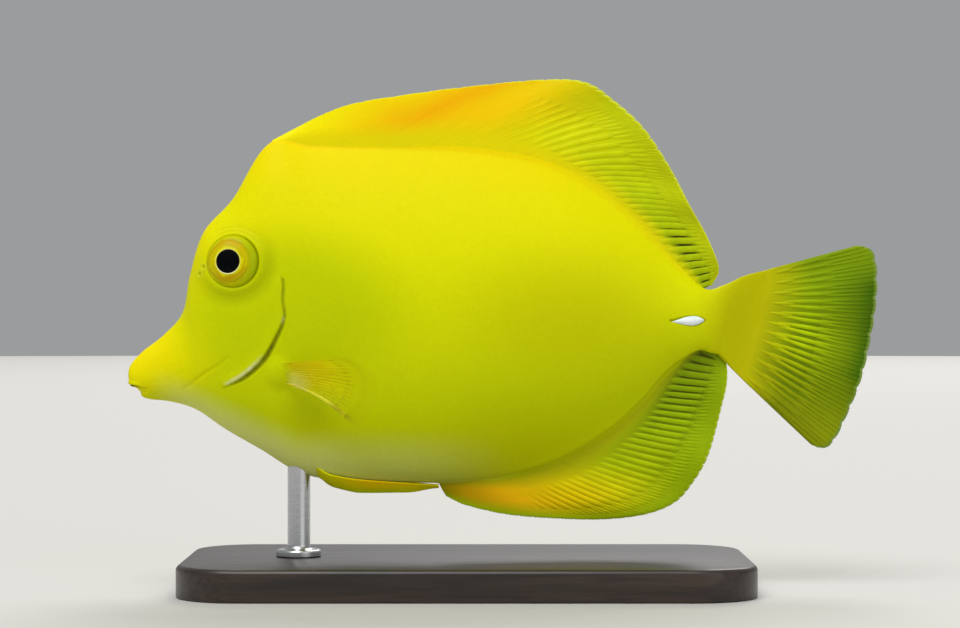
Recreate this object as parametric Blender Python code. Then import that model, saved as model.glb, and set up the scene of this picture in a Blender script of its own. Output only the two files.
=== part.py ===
"""A yellow tang, life size, in a swimming pose on a plain display stand.

The fish looks towards -X and shows its left flank to -Y; +Z is up and the stand's base lies on z = 0.
Sizes are in millimetres up to the point where a mesh is made, which turns them into metres.
"""

import math

import bmesh
import bpy
from mathutils import Vector
from mathutils.bvhtree import BVHTree

MM = 0.001
GAP = 0.3  # air between neighbouring pieces

# The body is lofted through upright sections. Each row gives the back and belly ends of one section, its half
# width, how far up the widest place lies (0 belly, 1 back), how pinched it is above and below that place
# (0.5 is a plain ellipse), and half the width of the narrow flat that closes it at the back and belly.
STATIONS = (
    # back x, back z, belly x, belly z, half width, widest, pinch above, pinch below, half flat
    (-82.6, 46.6, -82.6, 46.6, 0.0, 0.50, 0.50, 0.50, 0.0),  # snout tip
    (-82.0, 49.1, -81.7, 44.0, 2.4, 0.50, 0.50, 0.50, 0.2),  # lips
    (-79.3, 52.1, -78.7, 41.8, 3.3, 0.45, 0.50, 0.50, 0.3),  # corner of the mouth
    (-74.7, 55.7, -73.4, 41.1, 4.0, 0.45, 0.50, 0.55, 0.4),  # snout
    (-70.5, 60.7, -67.7, 39.4, 5.2, 0.45, 0.55, 0.60, 0.5),  # root of the snout
    (-68.9, 68.9, -61.1, 35.0, 6.9, 0.50, 0.50, 0.65, 0.5),  # cheek
    (-65.9, 78.3, -53.1, 30.4, 8.4, 0.55, 0.50, 0.65, 0.6),  # brow
    (-59.5, 85.6, -44.8, 25.5, 9.4, 0.55, 0.60, 0.60, 0.7),  # forehead and chest
    (-51.6, 97.6, -34.9, 23.5, 10.1, 0.52, 0.75, 0.60, 0.8),  # nape
    (-41.5, 97.0, -22.8, 23.3, 10.5, 0.52, 0.80, 0.60, 0.8),  # shoulder
    (-21.0, 96.6, -10.7, 23.3, 10.4, 0.52, 0.85, 0.65, 0.8),
    (-5.2, 95.7, 1.4, 24.9, 10.0, 0.52, 0.85, 0.70, 0.8),  # flank
    (9.4, 92.8, 12.4, 28.4, 9.0, 0.52, 0.85, 0.75, 0.8),
    (20.4, 88.2, 22.6, 34.5, 7.6, 0.52, 0.85, 0.80, 0.8),
    (30.0, 81.2, 30.0, 41.1, 6.0, 0.51, 0.80, 0.80, 0.8),
    (38.0, 72.8, 36.2, 48.0, 4.4, 0.50, 0.70, 0.70, 0.8),
    (44.1, 66.0, 42.4, 52.1, 3.3, 0.50, 0.55, 0.55, 0.8),  # narrowest part of the tail stalk
    (48.7, 66.7, 45.7, 51.7, 2.5, 0.50, 0.50, 0.50, 0.8),
    (53.1, 68.7, 48.1, 50.9, 1.6, 0.50, 0.50, 0.50, 0.8),  # root of the tail fin
)
LAST_STATION = len(STATIONS) - 1
RINGS_PER_STATION = 3
FIRST_RINGS = (0.12, 0.4, 0.7)  # stations that crowd towards the tip, so that the snout ends round
FLANK_STEPS = 14  # facets from belly to back on one flank
LINE_STEP = 0.02  # of a station, to find how an outline runs
FAR_OUT = 60.0  # well outside the body, where a line that seeks its surface starts

# The rear of the body swings gently towards +Y, as in a fish that starts a turn.
SWAY_START_X = 12.0
SWAY_END_X = 83.0
SWAY = 4.0

# The gill opening in the side view, top to bottom, with the head in front of it and the torso behind.
GILL_OPENING = (
    (-48.0, 66.7),
    (-48.1, 63.0),
    (-47.8, 59.4),
    (-49.7, 55.1),
    (-52.6, 50.4),
    (-56.7, 46.7),
    (-61.0, 44.4),
)

# Cuts that part the body, as middle lines in the side view with the cut's half width at each point.
CUT_DEPTH = 20.0
CUT_HALF = GAP / 2
CUT_STEPS = 4  # walls between two points of a cut
GILL_CUT = (
    (-51.2, 104.0, CUT_HALF),
    (-50.6, 92.0, CUT_HALF),
    (-49.2, 78.0, CUT_HALF),
    *((x, z, CUT_HALF) for x, z in GILL_OPENING),
    (-64.4, 41.0, CUT_HALF),
    (-66.0, 34.0, CUT_HALF),
)
JAW_CUT = (
    (-86.0, 44.2, 1.0),
    (-82.0, 44.3, 0.75),
    (-80.2, 44.4, 0.25),
    (-77.8, 44.1, CUT_HALF),
    (-75.2, 43.3, CUT_HALF),
    (-73.5, 41.8, CUT_HALF),
    (-72.9, 37.5, CUT_HALF),
)
STALK_CUT = (
    (35.5, 84.0, CUT_HALF),
    (34.0, 68.0, CUT_HALF),
    (33.5, 60.5, CUT_HALF),
    (33.6, 52.0, CUT_HALF),
    (34.3, 38.0, CUT_HALF),
)

# Eyes, set in sockets in the head.
EYE_X = -58.75
EYE_Z = 71.6
EYE_RADIUS = 6.0
EYE_FRONT_DEPTH = 2.6
EYE_BACK_DEPTH = 4.6
EYE_SINK = 1.2  # how far the eye's middle lies under the cheek
NOSTRILS = ((-66.4, 69.0), (-65.3, 70.4))
NOSTRIL_RADIUS = 0.55
NOSTRIL_FRONT = 0.5
NOSTRIL_DEPTH = 0.6
EYE_SEGMENTS = 18
EYE_RINGS = 10
NOSTRIL_SEGMENTS = 8
NOSTRIL_RINGS = 6

# Lips: thin rolls along the mouth's edges, from one corner round the front to the other.
LIP_CENTRE_X = -79.6
LIP_RADIUS = 0.42
LIP_FRONT_LIFT = 1.15  # from the middle of the mouth to the roll's middle, at the front
LIP_CORNER_LIFT = 0.62
LIP_CORNER_SHARE = 0.55  # of its full radius that a roll keeps at the corners
MOUTH_Z = 44.35
LIP_STEPS = 10
LIP_SIDES = 6

# A gill cover is a plate in front of the gill opening. These points are its front edge, from top to bottom.
COVER_FRONT = (
    (-50.4, 69.4),
    (-53.4, 65.6),
    (-55.6, 61.4),
    (-57.2, 57.0),
    (-59.4, 52.8),
    (-63.0, 49.0),
    (-67.4, 45.8),
)
COVER_THICK = 1.1
COVER_OVERCUT = 1.2  # how far the recess runs out behind the plate's rear edge
RECESS_PROUD = 3.0  # how far the cut for the recess reaches out of the cheek
COVER_ROWS = 12
COVER_COLUMNS = 5

# The white folding blade on each side of the tail stalk.
BLADE_TIP_X = 36.7
BLADE_ROOT_X = 44.1
BLADE_Z = 58.8
BLADE_HALF_HEIGHT = 1.3
BLADE_SINK = 0.7
BLADE_PROUD = 0.55
BLADE_STEPS = 8
BLADE_REARWARD = 1.6  # above 1 the widest place lies behind the middle
BLADE_FULLNESS = 0.6  # below 1 the leaf is fuller than a plain arc
BLADE_TIP_HALF = 0.15
BLADE_TIP_PROUD = 0.35  # share of its height that the blade keeps at its ends
BLADE_EDGE_PROUD = 0.3  # share of the middle's height at its long edges

# Dorsal and anal fins: share of the rays counted from the front, station of the root, and the ray's tip.
DORSAL_GUIDES = (
    (0.000, 8.00, -50.9, 98.6),
    (0.053, 8.59, -35.8, 105.8),
    (0.100, 9.07, -21.9, 108.5),
    (0.153, 9.49, -5.2, 110.7),
    (0.200, 9.85, 8.0, 111.9),
    (0.280, 10.31, 17.9, 111.4),
    (0.372, 10.86, 24.5, 107.4),
    (0.465, 11.45, 31.1, 101.2),
    (0.557, 12.04, 37.1, 92.2),
    (0.689, 13.09, 41.0, 84.5),
    (0.806, 14.00, 44.3, 78.8),
    (0.900, 14.90, 47.0, 72.6),
    (0.956, 15.45, 47.6, 69.6),
    (1.000, 15.90, 46.1, 66.9),
)
ANAL_GUIDES = (
    (0.000, 9.66, -12.6, 20.2),
    (0.040, 9.87, -8.5, 18.3),
    (0.100, 10.13, 0.3, 16.3),
    (0.190, 10.51, 11.6, 15.3),
    (0.280, 10.94, 22.3, 15.1),
    (0.370, 11.40, 31.8, 16.3),
    (0.455, 11.86, 38.2, 18.9),
    (0.540, 12.33, 42.1, 23.3),
    (0.620, 12.76, 45.0, 28.4),
    (0.720, 13.41, 47.0, 34.5),
    (0.805, 14.00, 48.3, 40.0),
    (0.895, 14.71, 49.4, 45.1),
    (0.965, 15.36, 49.1, 48.6),
    (1.000, 15.70, 47.6, 50.4),
)
DORSAL_RAYS = 30
ANAL_RAYS = 24
TAIL_RAYS = 16
PECTORAL_RAYS = 15
PELVIC_RAYS = 6
MEDIAN_ROWS = 4
TAIL_ROWS = 4
PECTORAL_ROWS = 4
PELVIC_ROWS = 6
DORSAL_BOW = 0.05  # how far a ray arches, as a share of its length
ANAL_BOW = 0.03

# The tail fin is a fan about a point inside the body, turned down by its pitch.
FAN_X = 34.0
FAN_Z = 63.6
FAN_PITCH = math.radians(-14.2)
FAN_HALF_ANGLE = math.radians(29.2)
FAN_ROOT = 17.3
FAN_RADIUS = 48.4
FAN_LOBE = 2.4  # how much longer the outer rays are
FAN_LOWER_EXTRA = 0.5  # how much the lower lobe is longer still
FAN_CORNER = 4.0  # how much the very corners are rounded off
FAN_CORNER_POWER = 18

# Pectoral fin: root line on the flank, then the tips of its guide rays with how far they stand off the root.
PECTORAL_ROOT = ((-47.9, 49.6), (-46.6, 45.2))
PECTORAL_GUIDES = (
    (0.00, -32.3, 51.2, 13.0),
    (0.25, -27.5, 48.3, 17.0),
    (0.50, -26.4, 43.9, 17.5),
    (0.75, -28.0, 39.4, 15.0),
    (1.00, -31.5, 35.8, 11.0),
)
PECTORAL_BOW = 2.4  # how far the rays arch outwards
PECTORAL_DROOP = 1.8  # how far the lowest ray arches upwards

# Pelvic fins lie folded back along the belly: stations of the root and tip, angles round the section.
PELVIC_ROOT_STATION = 7.55
PELVIC_TIP_STATION = 9.62
PELVIC_LOW_ANGLE = math.radians(-90.0)
PELVIC_ROOT_ANGLE = math.radians(-69.0)
PELVIC_TIP_ANGLE = math.radians(-82.0)
PELVIC_LIFT = 1.4
PELVIC_LIFT_REACH = 1 / 3  # share of the fin's length over which it rises

# Half thickness of a ray and of the skin between rays, at the root and at the tip.
RAY_ROOT_HALF = 0.68
RAY_TIP_HALF = 0.34
SKIN_ROOT_HALF = 0.38
SKIN_TIP_HALF = 0.26
RAY_WIDTH = 0.42  # share of the spacing of the rays
EDGE_NOTCH = 0.012  # how far the skin stays behind the ray tips
PAIRED_SLIM = 0.8  # the pectoral and pelvic fins are thinner by this
FIN_STEP = 0.01  # of a fin's share, to find how its surface runs

# Display stand.
BASE_LENGTH = 124.0
BASE_WIDTH = 64.0
BASE_HEIGHT = 7.0
BASE_CORNER = 14.0
BASE_CORNER_STEPS = 8
BASE_BEVEL = 1.2
BASE_BEVEL_STEPS = 2
BASE_X = -8.0
ROD_X = -45.0
ROD_RADIUS = 2.5
FLANGE_RADIUS = 5.0
FLANGE_HEIGHT = 1.6
FLANGE_RIM = 0.7  # share of its height that is upright
FLANGE_SLOPE = 0.6
ROD_TOP_Z = 32.0
ROD_SIDES = 24

YELLOW = (0.84, 0.78, 0.01)
GOLD = (0.88, 0.62, 0.01)
LIME = (0.50, 0.62, 0.01)
WHITE = (0.86, 0.92, 0.88)
IRIS = (0.62, 0.42, 0.03)
EBONY = (0.012, 0.011, 0.010)
STEEL = (0.56, 0.57, 0.58)
SATIN = 0.45
POLISHED = 0.30
WAXED = 0.35
WET = 0.12
SHARP_ANGLE = math.radians(35)


def clear_scene():
    for old in list(bpy.data.objects):
        bpy.data.objects.remove(old)


def finish(name, colour, roughness, metallic=0.0):
    """A plain material for one kind of piece."""
    material = bpy.data.materials.new(name)
    material.use_nodes = True
    shader = material.node_tree.nodes["Principled BSDF"]
    shader.inputs["Base Color"].default_value = (*colour, 1.0)
    shader.inputs["Roughness"].default_value = roughness
    shader.inputs["Metallic"].default_value = metallic
    return material


def smooth(knots, rows, at):
    """The row at one place on a smooth curve through rows set at the knots."""
    last = len(knots) - 1
    i = 0
    while i < last - 1 and at > knots[i + 1]:
        i += 1
    span = knots[i + 1] - knots[i]
    t = (at - knots[i]) / span

    def slope(j, k):
        before, after = max(j - 1, 0), min(j + 1, last)
        return (rows[after][k] - rows[before][k]) / (knots[after] - knots[before]) * span

    found = []
    for k in range(len(rows[0])):
        a, b = rows[i][k], rows[i + 1][k]
        bend = (2 * t**3 - 3 * t**2 + 1) * a + (3 * t**2 - 2 * t**3) * b
        bend += (t**3 - 2 * t**2 + t) * slope(i, k) + (t**3 - t**2) * slope(i + 1, k)
        found.append(bend)
    return found


STATION_KNOTS = tuple(range(len(STATIONS)))


def body_point(station, angle, side, grow=0.0):
    """A point of the body: angle runs from -90 degrees at the belly to 90 at the back. Grow swells it."""
    row = smooth(STATION_KNOTS, STATIONS, station)
    back, belly = Vector((row[0], 0, row[1])), Vector((row[2], 0, row[3]))
    width, widest, above, below, flat = row[4:]
    upright = (back - belly).normalized() if (back - belly).length > 1e-6 else Vector((0, 0, 1))
    back += upright * grow
    belly -= upright * grow
    middle = belly + (back - belly) * widest
    end, pinch = (back, above) if angle >= 0 else (belly, below)
    at = middle + (end - middle) * abs(math.sin(angle))
    flat = max(flat, 0.0)
    at.y = side * (flat + (width + grow - flat) * max(math.cos(angle), 0.0) ** (2 * pinch))
    return at


def back_line(station, lift=0.0):
    """A point on the back's outline, lifted off it at a right angle."""
    return outline(station, math.pi / 2, lift)


def belly_line(station, lift=0.0):
    """A point on the belly's outline, lifted off it at a right angle."""
    return outline(station, -math.pi / 2, lift)


def outline(station, angle, lift):
    before = body_point(max(station - LINE_STEP, 0), angle, 0)
    after = body_point(min(station + LINE_STEP, LAST_STATION), angle, 0)
    along = (after - before).normalized()
    away = Vector((-along.z, 0, along.x)) if angle > 0 else Vector((along.z, 0, -along.x))
    return body_point(station, angle, 0) + away * lift


def sway(point):
    """The body's gentle swing to one side, which grows towards the tail."""
    t = min(max((point[0] - SWAY_START_X) / (SWAY_END_X - SWAY_START_X), 0.0), 1.0)
    return Vector((point[0], point[1] + SWAY * t * t * (3 - 2 * t), point[2]))


def mesh_object(name, points, faces, material=None, swayed=False):
    """An object from points in millimetres, with its faces turned outwards."""
    placed = [sway(p) if swayed else Vector(p) for p in points]
    mesh = bpy.data.meshes.new(name)
    mesh.from_pydata([p * MM for p in placed], [], faces)
    shape = bmesh.new()
    shape.from_mesh(mesh)
    bmesh.ops.recalc_face_normals(shape, faces=shape.faces)
    if shape.calc_volume(signed=True) < 0:
        bmesh.ops.reverse_faces(shape, faces=shape.faces)
    shape.to_mesh(mesh)
    shape.free()
    made = bpy.data.objects.new(name, mesh)
    bpy.context.scene.collection.objects.link(made)
    if material:
        mesh.materials.append(material)
    return made


def body_mesh(grow=0.0):
    """Points and faces of the whole body as one closed loft."""
    angles = [math.pi * (j / FLANK_STEPS - 0.5) for j in range(FLANK_STEPS + 1)]
    ring_size = 2 * len(angles)
    count = LAST_STATION * RINGS_PER_STATION
    stations = list(FIRST_RINGS) + [i / RINGS_PER_STATION for i in range(RINGS_PER_STATION, count + 1)]
    points = [body_point(0, 0, 0) - Vector((grow, 0, 0))]
    for station in stations:
        points += [body_point(station, a, -1, grow) for a in angles]
        points += [body_point(station, a, 1, grow) for a in reversed(angles)]
    faces = [(0, 1 + j, 1 + (j + 1) % ring_size) for j in range(ring_size)]
    for i in range(len(stations) - 1):
        low, high = 1 + i * ring_size, 1 + (i + 1) * ring_size
        for j in range(ring_size):
            k = (j + 1) % ring_size
            faces.append((low + j, high + j, high + k, low + k))
    start = 1 + (len(stations) - 1) * ring_size
    for j in range(len(angles) - 1):
        faces.append((start + j, start + j + 1, start + ring_size - 2 - j, start + ring_size - 1 - j))
    return points, faces


def flank_tree():
    """Finds places on the body's surface."""
    points, faces = body_mesh()
    return BVHTree.FromPolygons(points, faces)


def on_flank(tree, x, z, side):
    """The place and the outward direction of the body's surface over one point of the side view."""
    place, normal, _, _ = tree.ray_cast(Vector((x, side * FAR_OUT, z)), Vector((0, -side, 0)))
    if normal.y * side < 0:
        normal = -normal
    return place, normal


def cutter_from(name, points, faces):
    made = mesh_object(name, points, faces)
    made.hide_render = True
    made.display_type = "WIRE"
    return made


def ribbon(name, line):
    """A thin upright wall along a line of the side view, right through the body."""
    knots = tuple(range(len(line)))
    steps = CUT_STEPS * (len(line) - 1)
    rows = [smooth(knots, line, i / CUT_STEPS) for i in range(steps + 1)]
    points = []
    for i, (x, z, half) in enumerate(rows):
        before, after = rows[max(i - 1, 0)], rows[min(i + 1, steps)]
        along = Vector((after[0] - before[0], 0, after[1] - before[1])).normalized()
        away = Vector((-along.z, 0, along.x)) * half
        for depth in (-CUT_DEPTH, CUT_DEPTH):
            for sign in (-1, 1):
                points.append(Vector((x, depth, z)) + away * sign)
    faces = [(0, 1, 3, 2)]
    for i in range(steps):
        a, b = 4 * i, 4 * i + 4
        for p, q in ((0, 1), (1, 3), (3, 2), (2, 0)):
            faces.append((a + p, a + q, b + q, b + p))
    last = 4 * steps
    faces.append((last, last + 1, last + 3, last + 2))
    return cutter_from(name, points, faces)


def combine(target, tools, operation):
    """Cuts all the tools from the target, or joins them to it, in one go and removes them."""
    group = bpy.data.collections.new("tools")
    bpy.context.scene.collection.children.link(group)
    for one in tools:
        group.objects.link(one)
    boolean = target.modifiers.new("combine", "BOOLEAN")
    boolean.operation = operation
    boolean.operand_type = "COLLECTION"
    boolean.collection = group
    boolean.solver = "EXACT"
    bpy.context.view_layer.update()
    graph = bpy.context.evaluated_depsgraph_get()
    made = bpy.data.meshes.new_from_object(target.evaluated_get(graph))
    target.modifiers.clear()
    target.data = made
    for one in tools:
        bpy.data.objects.remove(one)
    bpy.data.collections.remove(group)


def islands(obj):
    """The separate closed surfaces of an object, as points and faces in millimetres, largest first."""
    shape = bmesh.new()
    shape.from_mesh(obj.data)
    shape.verts.ensure_lookup_table()
    seen, found = set(), []
    for start in shape.verts:
        if start.index in seen:
            continue
        group, stack = [], [start]
        seen.add(start.index)
        while stack:
            vert = stack.pop()
            group.append(vert)
            for edge in vert.link_edges:
                other = edge.other_vert(vert)
                if other.index not in seen:
                    seen.add(other.index)
                    stack.append(other)
        number = {vert.index: n for n, vert in enumerate(group)}
        faces = {face for vert in group for face in vert.link_faces}
        ordered = sorted(faces, key=lambda face: face.index)
        rows = [[number[vert.index] for vert in face.verts] for face in ordered]
        found.append(([vert.co / MM for vert in group], rows))
    shape.free()
    return sorted(found, key=lambda made: -len(made[0]))


def keep_largest(obj):
    """Drops loose scraps that a cut left."""
    found = islands(obj)
    if len(found) > 1:
        material = obj.data.materials[0] if obj.data.materials else None
        name = obj.name
        bpy.data.objects.remove(obj)
        obj = mesh_object(name, *found[0], material)
    return obj


def part_body(material):
    """The whole body, parted by thin cuts into jaw, head, torso and tail stalk."""
    whole = mesh_object("body", *body_mesh())
    lines = {"gill_cut": GILL_CUT, "jaw_cut": JAW_CUT, "stalk_cut": STALK_CUT}
    combine(whole, [ribbon(name, line) for name, line in lines.items()], "DIFFERENCE")
    names = ("lower_jaw", "head", "torso", "tail_stalk")
    pieces = islands(whole)[: len(names)]
    bpy.data.objects.remove(whole)
    pieces.sort(key=lambda made: sum(p.x for p in made[0]) / len(made[0]))
    return {name: mesh_object(name, *made, material) for name, made in zip(names, pieces)}


def ball(centre, axis, radius, front, back, grow=0.0, segments=EYE_SEGMENTS, rings=EYE_RINGS):
    """A ball flattened along its axis, by different amounts in front and behind."""
    across = axis.cross(Vector((0, 0, 1))).normalized()
    upright = across.cross(axis).normalized()
    points = [centre + axis * (front + grow)]
    for i in range(1, rings):
        turn = math.pi * i / rings
        depth = (front if turn < math.pi / 2 else back) + grow
        for j in range(segments):
            round_ = 2 * math.pi * j / segments
            out = across * math.cos(round_) + upright * math.sin(round_)
            points.append(centre + out * (radius + grow) * math.sin(turn) + axis * depth * math.cos(turn))
    points.append(centre - axis * (back + grow))
    last = len(points) - 1
    faces = [(0, 1 + j, 1 + (j + 1) % segments) for j in range(segments)]
    for i in range(rings - 2):
        for j in range(segments):
            a, b = 1 + i * segments, 1 + (i + 1) * segments
            k = (j + 1) % segments
            faces.append((a + j, a + k, b + k, b + j))
    low = 1 + (rings - 2) * segments
    faces += [(last, low + (j + 1) % segments, low + j) for j in range(segments)]
    return points, faces


def eye_shape(tree, side, grow=0.0):
    place, normal = on_flank(tree, EYE_X, EYE_Z, side)
    axis = (normal + Vector((0, side, 0))).normalized()
    return ball(place - axis * EYE_SINK, axis, EYE_RADIUS, EYE_FRONT_DEPTH, EYE_BACK_DEPTH, grow)


def nostril_shape(tree, x, z, side):
    place, normal = on_flank(tree, x, z, side)
    sizes = NOSTRIL_RADIUS, NOSTRIL_FRONT, NOSTRIL_DEPTH
    return ball(place, normal, *sizes, segments=NOSTRIL_SEGMENTS, rings=NOSTRIL_RINGS)


def lip_roll(tree, upper):
    """A thin roll on the skin along one edge of the mouth, above it for upper 1 and under it for -1."""
    middles = []
    for i in range(LIP_STEPS + 1):
        turn = math.pi * (i / LIP_STEPS - 0.5)
        lift = LIP_CORNER_LIFT + (LIP_FRONT_LIFT - LIP_CORNER_LIFT) * math.cos(turn)
        out = Vector((-math.cos(turn), math.sin(turn), 0))
        centre = Vector((LIP_CENTRE_X, 0, MOUTH_Z + upper * lift))
        place, _, _, _ = tree.ray_cast(centre + out * FAR_OUT, -out)
        middles.append(place)
    points = [middles[0].copy()]
    for i in range(1, LIP_STEPS):
        along = (middles[i + 1] - middles[i - 1]).normalized()
        out = along.cross(Vector((0, 0, 1))).normalized()
        fullness = math.sin(math.pi * i / LIP_STEPS)
        radius = LIP_RADIUS * (LIP_CORNER_SHARE + (1 - LIP_CORNER_SHARE) * fullness)
        for j in range(LIP_SIDES):
            turn = 2 * math.pi * j / LIP_SIDES
            points.append(middles[i] + (out * math.cos(turn) + along.cross(out) * math.sin(turn)) * radius)
    points.append(middles[-1].copy())
    last = len(points) - 1
    faces = []
    for j in range(LIP_SIDES):
        k = (j + 1) % LIP_SIDES
        faces.append((0, 1 + j, 1 + k))
        faces.append((last, last - LIP_SIDES + k, last - LIP_SIDES + j))
        for i in range(LIP_STEPS - 2):
            a, b = 1 + i * LIP_SIDES, 1 + (i + 1) * LIP_SIDES
            faces.append((a + j, b + j, b + k, a + k))
    return points, faces


def cover_shape(tree, side, inner, outer, margin, overcut):
    """The plate of a gill cover between two depths under the cheek, grown by a margin at the front, top and
    bottom, and by the overcut at the rear."""
    knots = tuple(range(len(COVER_FRONT)))
    points = []
    for i in range(COVER_ROWS + 1):
        along = i / COVER_ROWS * (len(COVER_FRONT) - 1)
        front = Vector(smooth(knots, COVER_FRONT, along))
        rear = Vector(smooth(knots, GILL_OPENING, along))
        across = (rear - front).normalized()
        shift = {0: -margin, COVER_ROWS: margin}.get(i, 0.0) * Vector((across.y, -across.x))
        front = front + shift - across * margin
        rear = rear + shift + across * (overcut - CUT_HALF)
        for j in range(COVER_COLUMNS + 1):
            x, z = front + (rear - front) * (j / COVER_COLUMNS)
            place, _ = on_flank(tree, x, z, side)
            for depth in (inner, outer):
                points.append(Vector((x, place.y - side * depth, z)))
    return points, sheet_faces(COVER_ROWS, COVER_COLUMNS)


def sheet_faces(rows, columns):
    """Triangles of a closed sheet whose points come in pairs, one of each face, row by row."""
    wide = columns + 1
    faces = []

    def number(i, j, face):
        return 2 * (i * wide + j) + face

    def quad(a, b, c, d):
        faces.append((a, b, c))
        faces.append((a, c, d))

    for i in range(rows):
        for j in range(columns):
            for face in (0, 1):
                quad(*(number(*at, face) for at in ((i, j), (i, j + 1), (i + 1, j + 1), (i + 1, j))))
    for j in range(columns):
        for i in (0, rows):
            quad(number(i, j, 0), number(i, j + 1, 0), number(i, j + 1, 1), number(i, j, 1))
    for i in range(rows):
        for j in (0, columns):
            quad(number(i, j, 0), number(i + 1, j, 0), number(i + 1, j, 1), number(i, j, 1))
    return faces


def blade_shape(tree, side, grow=0.0):
    """A teardrop blade that lies along the tail stalk, sharp end forwards, partly sunk in it."""
    points = []
    length = BLADE_ROOT_X - BLADE_TIP_X
    for i in range(BLADE_STEPS + 1):
        t = i / BLADE_STEPS
        x = BLADE_TIP_X - grow + (length + 2 * grow) * t
        full = math.sin(math.pi * t**BLADE_REARWARD) ** BLADE_FULLNESS if 0 < t < 1 else 0.0
        half = max(BLADE_HALF_HEIGHT * full, BLADE_TIP_HALF) + grow
        place, _ = on_flank(tree, x, BLADE_Z, side)
        proud = BLADE_PROUD * (BLADE_TIP_PROUD + (1 - BLADE_TIP_PROUD) * full) + 2 * grow
        for z in (-half, 0.0, half):
            crown = proud if z == 0 else BLADE_EDGE_PROUD * proud
            points.append(Vector((x, place.y - side * (BLADE_SINK + grow), BLADE_Z + z)))
            points.append(Vector((x, place.y + side * crown, BLADE_Z + z)))
    return points, sheet_faces(BLADE_STEPS, 2)


def ray_columns(rays):
    """Where a fin's columns stand along it, each with how much of a ray it carries."""
    columns = [(0.0, 1.0)]
    for i in range(rays):
        middle = (i + 0.5) / rays
        foot = 0.5 * RAY_WIDTH / rays
        columns += [(middle - foot, 0.0), (middle, 1.0), (middle + foot, 0.0)]
    return columns + [(1.0, 1.0)]


def fin(name, mid, rays, rows, material, flat_side=None, slim=1.0):
    """A closed fin: mid(u, v) is its middle surface, u along the root and v from root to tip. Rays stand
    proud of the skin between them on both faces."""
    columns = ray_columns(rays)
    points = []
    for i in range(rows + 1):
        for u, ray in columns:
            v = i / rows
            v_here = v * (1 - EDGE_NOTCH * (1 - ray)) if i == rows else v
            at = mid(u, v_here)
            if flat_side:
                away = flat_side
            else:
                along_u = mid(min(u + FIN_STEP, 1), v_here) - mid(max(u - FIN_STEP, 0), v_here)
                along_v = mid(u, min(v_here + FIN_STEP, 1)) - mid(u, max(v_here - FIN_STEP, 0))
                away = along_u.cross(along_v).normalized()
            ray_half = RAY_ROOT_HALF + (RAY_TIP_HALF - RAY_ROOT_HALF) * v
            skin_half = SKIN_ROOT_HALF + (SKIN_TIP_HALF - SKIN_ROOT_HALF) * v
            half = (skin_half + (ray_half - skin_half) * ray) * slim
            points += [at - away * half, at + away * half]
    return mesh_object(name, points, sheet_faces(rows, len(columns) - 1), material, swayed=True)


def median_fin(name, guides, root_line, rays, bow, material):
    """A fin on the middle line, from guide rays between the body's outline and the ray tips."""
    knots = [row[0] for row in guides]
    values = [row[1:] for row in guides]

    def mid(u, v):
        station, tip_x, tip_z = smooth(knots, values, u)
        root = root_line(station, GAP)
        tip = Vector((tip_x, 0, tip_z))
        away = (root_line(station, 1.0) - root_line(station, 0.0)) * bow * (tip - root).length
        return root.lerp(tip, v) + away * 4 * v * (1 - v)

    return fin(name, mid, rays, MEDIAN_ROWS, material, flat_side=Vector((0, 1, 0)))


def tail_fin(material):
    def mid(u, v):
        turn = FAN_HALF_ANGLE * (1 - 2 * u)
        share = abs(turn) / FAN_HALF_ANGLE
        inner = (FAN_ROOT + GAP) / math.cos(turn)
        outer = FAN_RADIUS + FAN_LOBE * share**2 - FAN_CORNER * share**FAN_CORNER_POWER
        outer -= FAN_LOWER_EXTRA * turn / FAN_HALF_ANGLE
        radius = inner + (outer - inner) * v
        angle = FAN_PITCH + turn
        return Vector((FAN_X + radius * math.cos(angle), 0, FAN_Z + radius * math.sin(angle)))

    return fin("tail_fin", mid, TAIL_RAYS, TAIL_ROWS, material, flat_side=Vector((0, 1, 0)))


def pectoral_fin(name, tree, side, material):
    """A fan that stands out from the flank and sweeps back."""
    knots = [row[0] for row in PECTORAL_GUIDES]
    values = [row[1:] for row in PECTORAL_GUIDES]

    def mid(u, v):
        x0, z0 = Vector(PECTORAL_ROOT[0]).lerp(Vector(PECTORAL_ROOT[1]), u)
        place, _ = on_flank(tree, x0, z0, side)
        root = Vector((x0, place.y + side * GAP, z0))
        x1, z1, out = smooth(knots, values, u)
        tip = Vector((x1, place.y + side * out, z1))
        bow = Vector((0, side * PECTORAL_BOW, PECTORAL_DROOP * u * u))
        return root.lerp(tip, v) + bow * 4 * v * (1 - v)

    return fin(name, mid, PECTORAL_RAYS, PECTORAL_ROWS, material, slim=PAIRED_SLIM)


def pelvic_fin(name, side, material):
    """A narrow fin folded back along the belly."""

    def mid(u, v):
        station = PELVIC_ROOT_STATION + (PELVIC_TIP_STATION - PELVIC_ROOT_STATION) * v
        top = PELVIC_ROOT_ANGLE + (PELVIC_TIP_ANGLE - PELVIC_ROOT_ANGLE) * v
        angle = PELVIC_LOW_ANGLE + (top - PELVIC_LOW_ANGLE) * u
        lift = GAP + RAY_ROOT_HALF * PAIRED_SLIM
        lift += PELVIC_LIFT * (1 - u) * min(1.0, v / PELVIC_LIFT_REACH)
        return body_point(station, angle, side, lift)

    return fin(name, mid, PELVIC_RAYS, PELVIC_ROWS, material, slim=PAIRED_SLIM)


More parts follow.
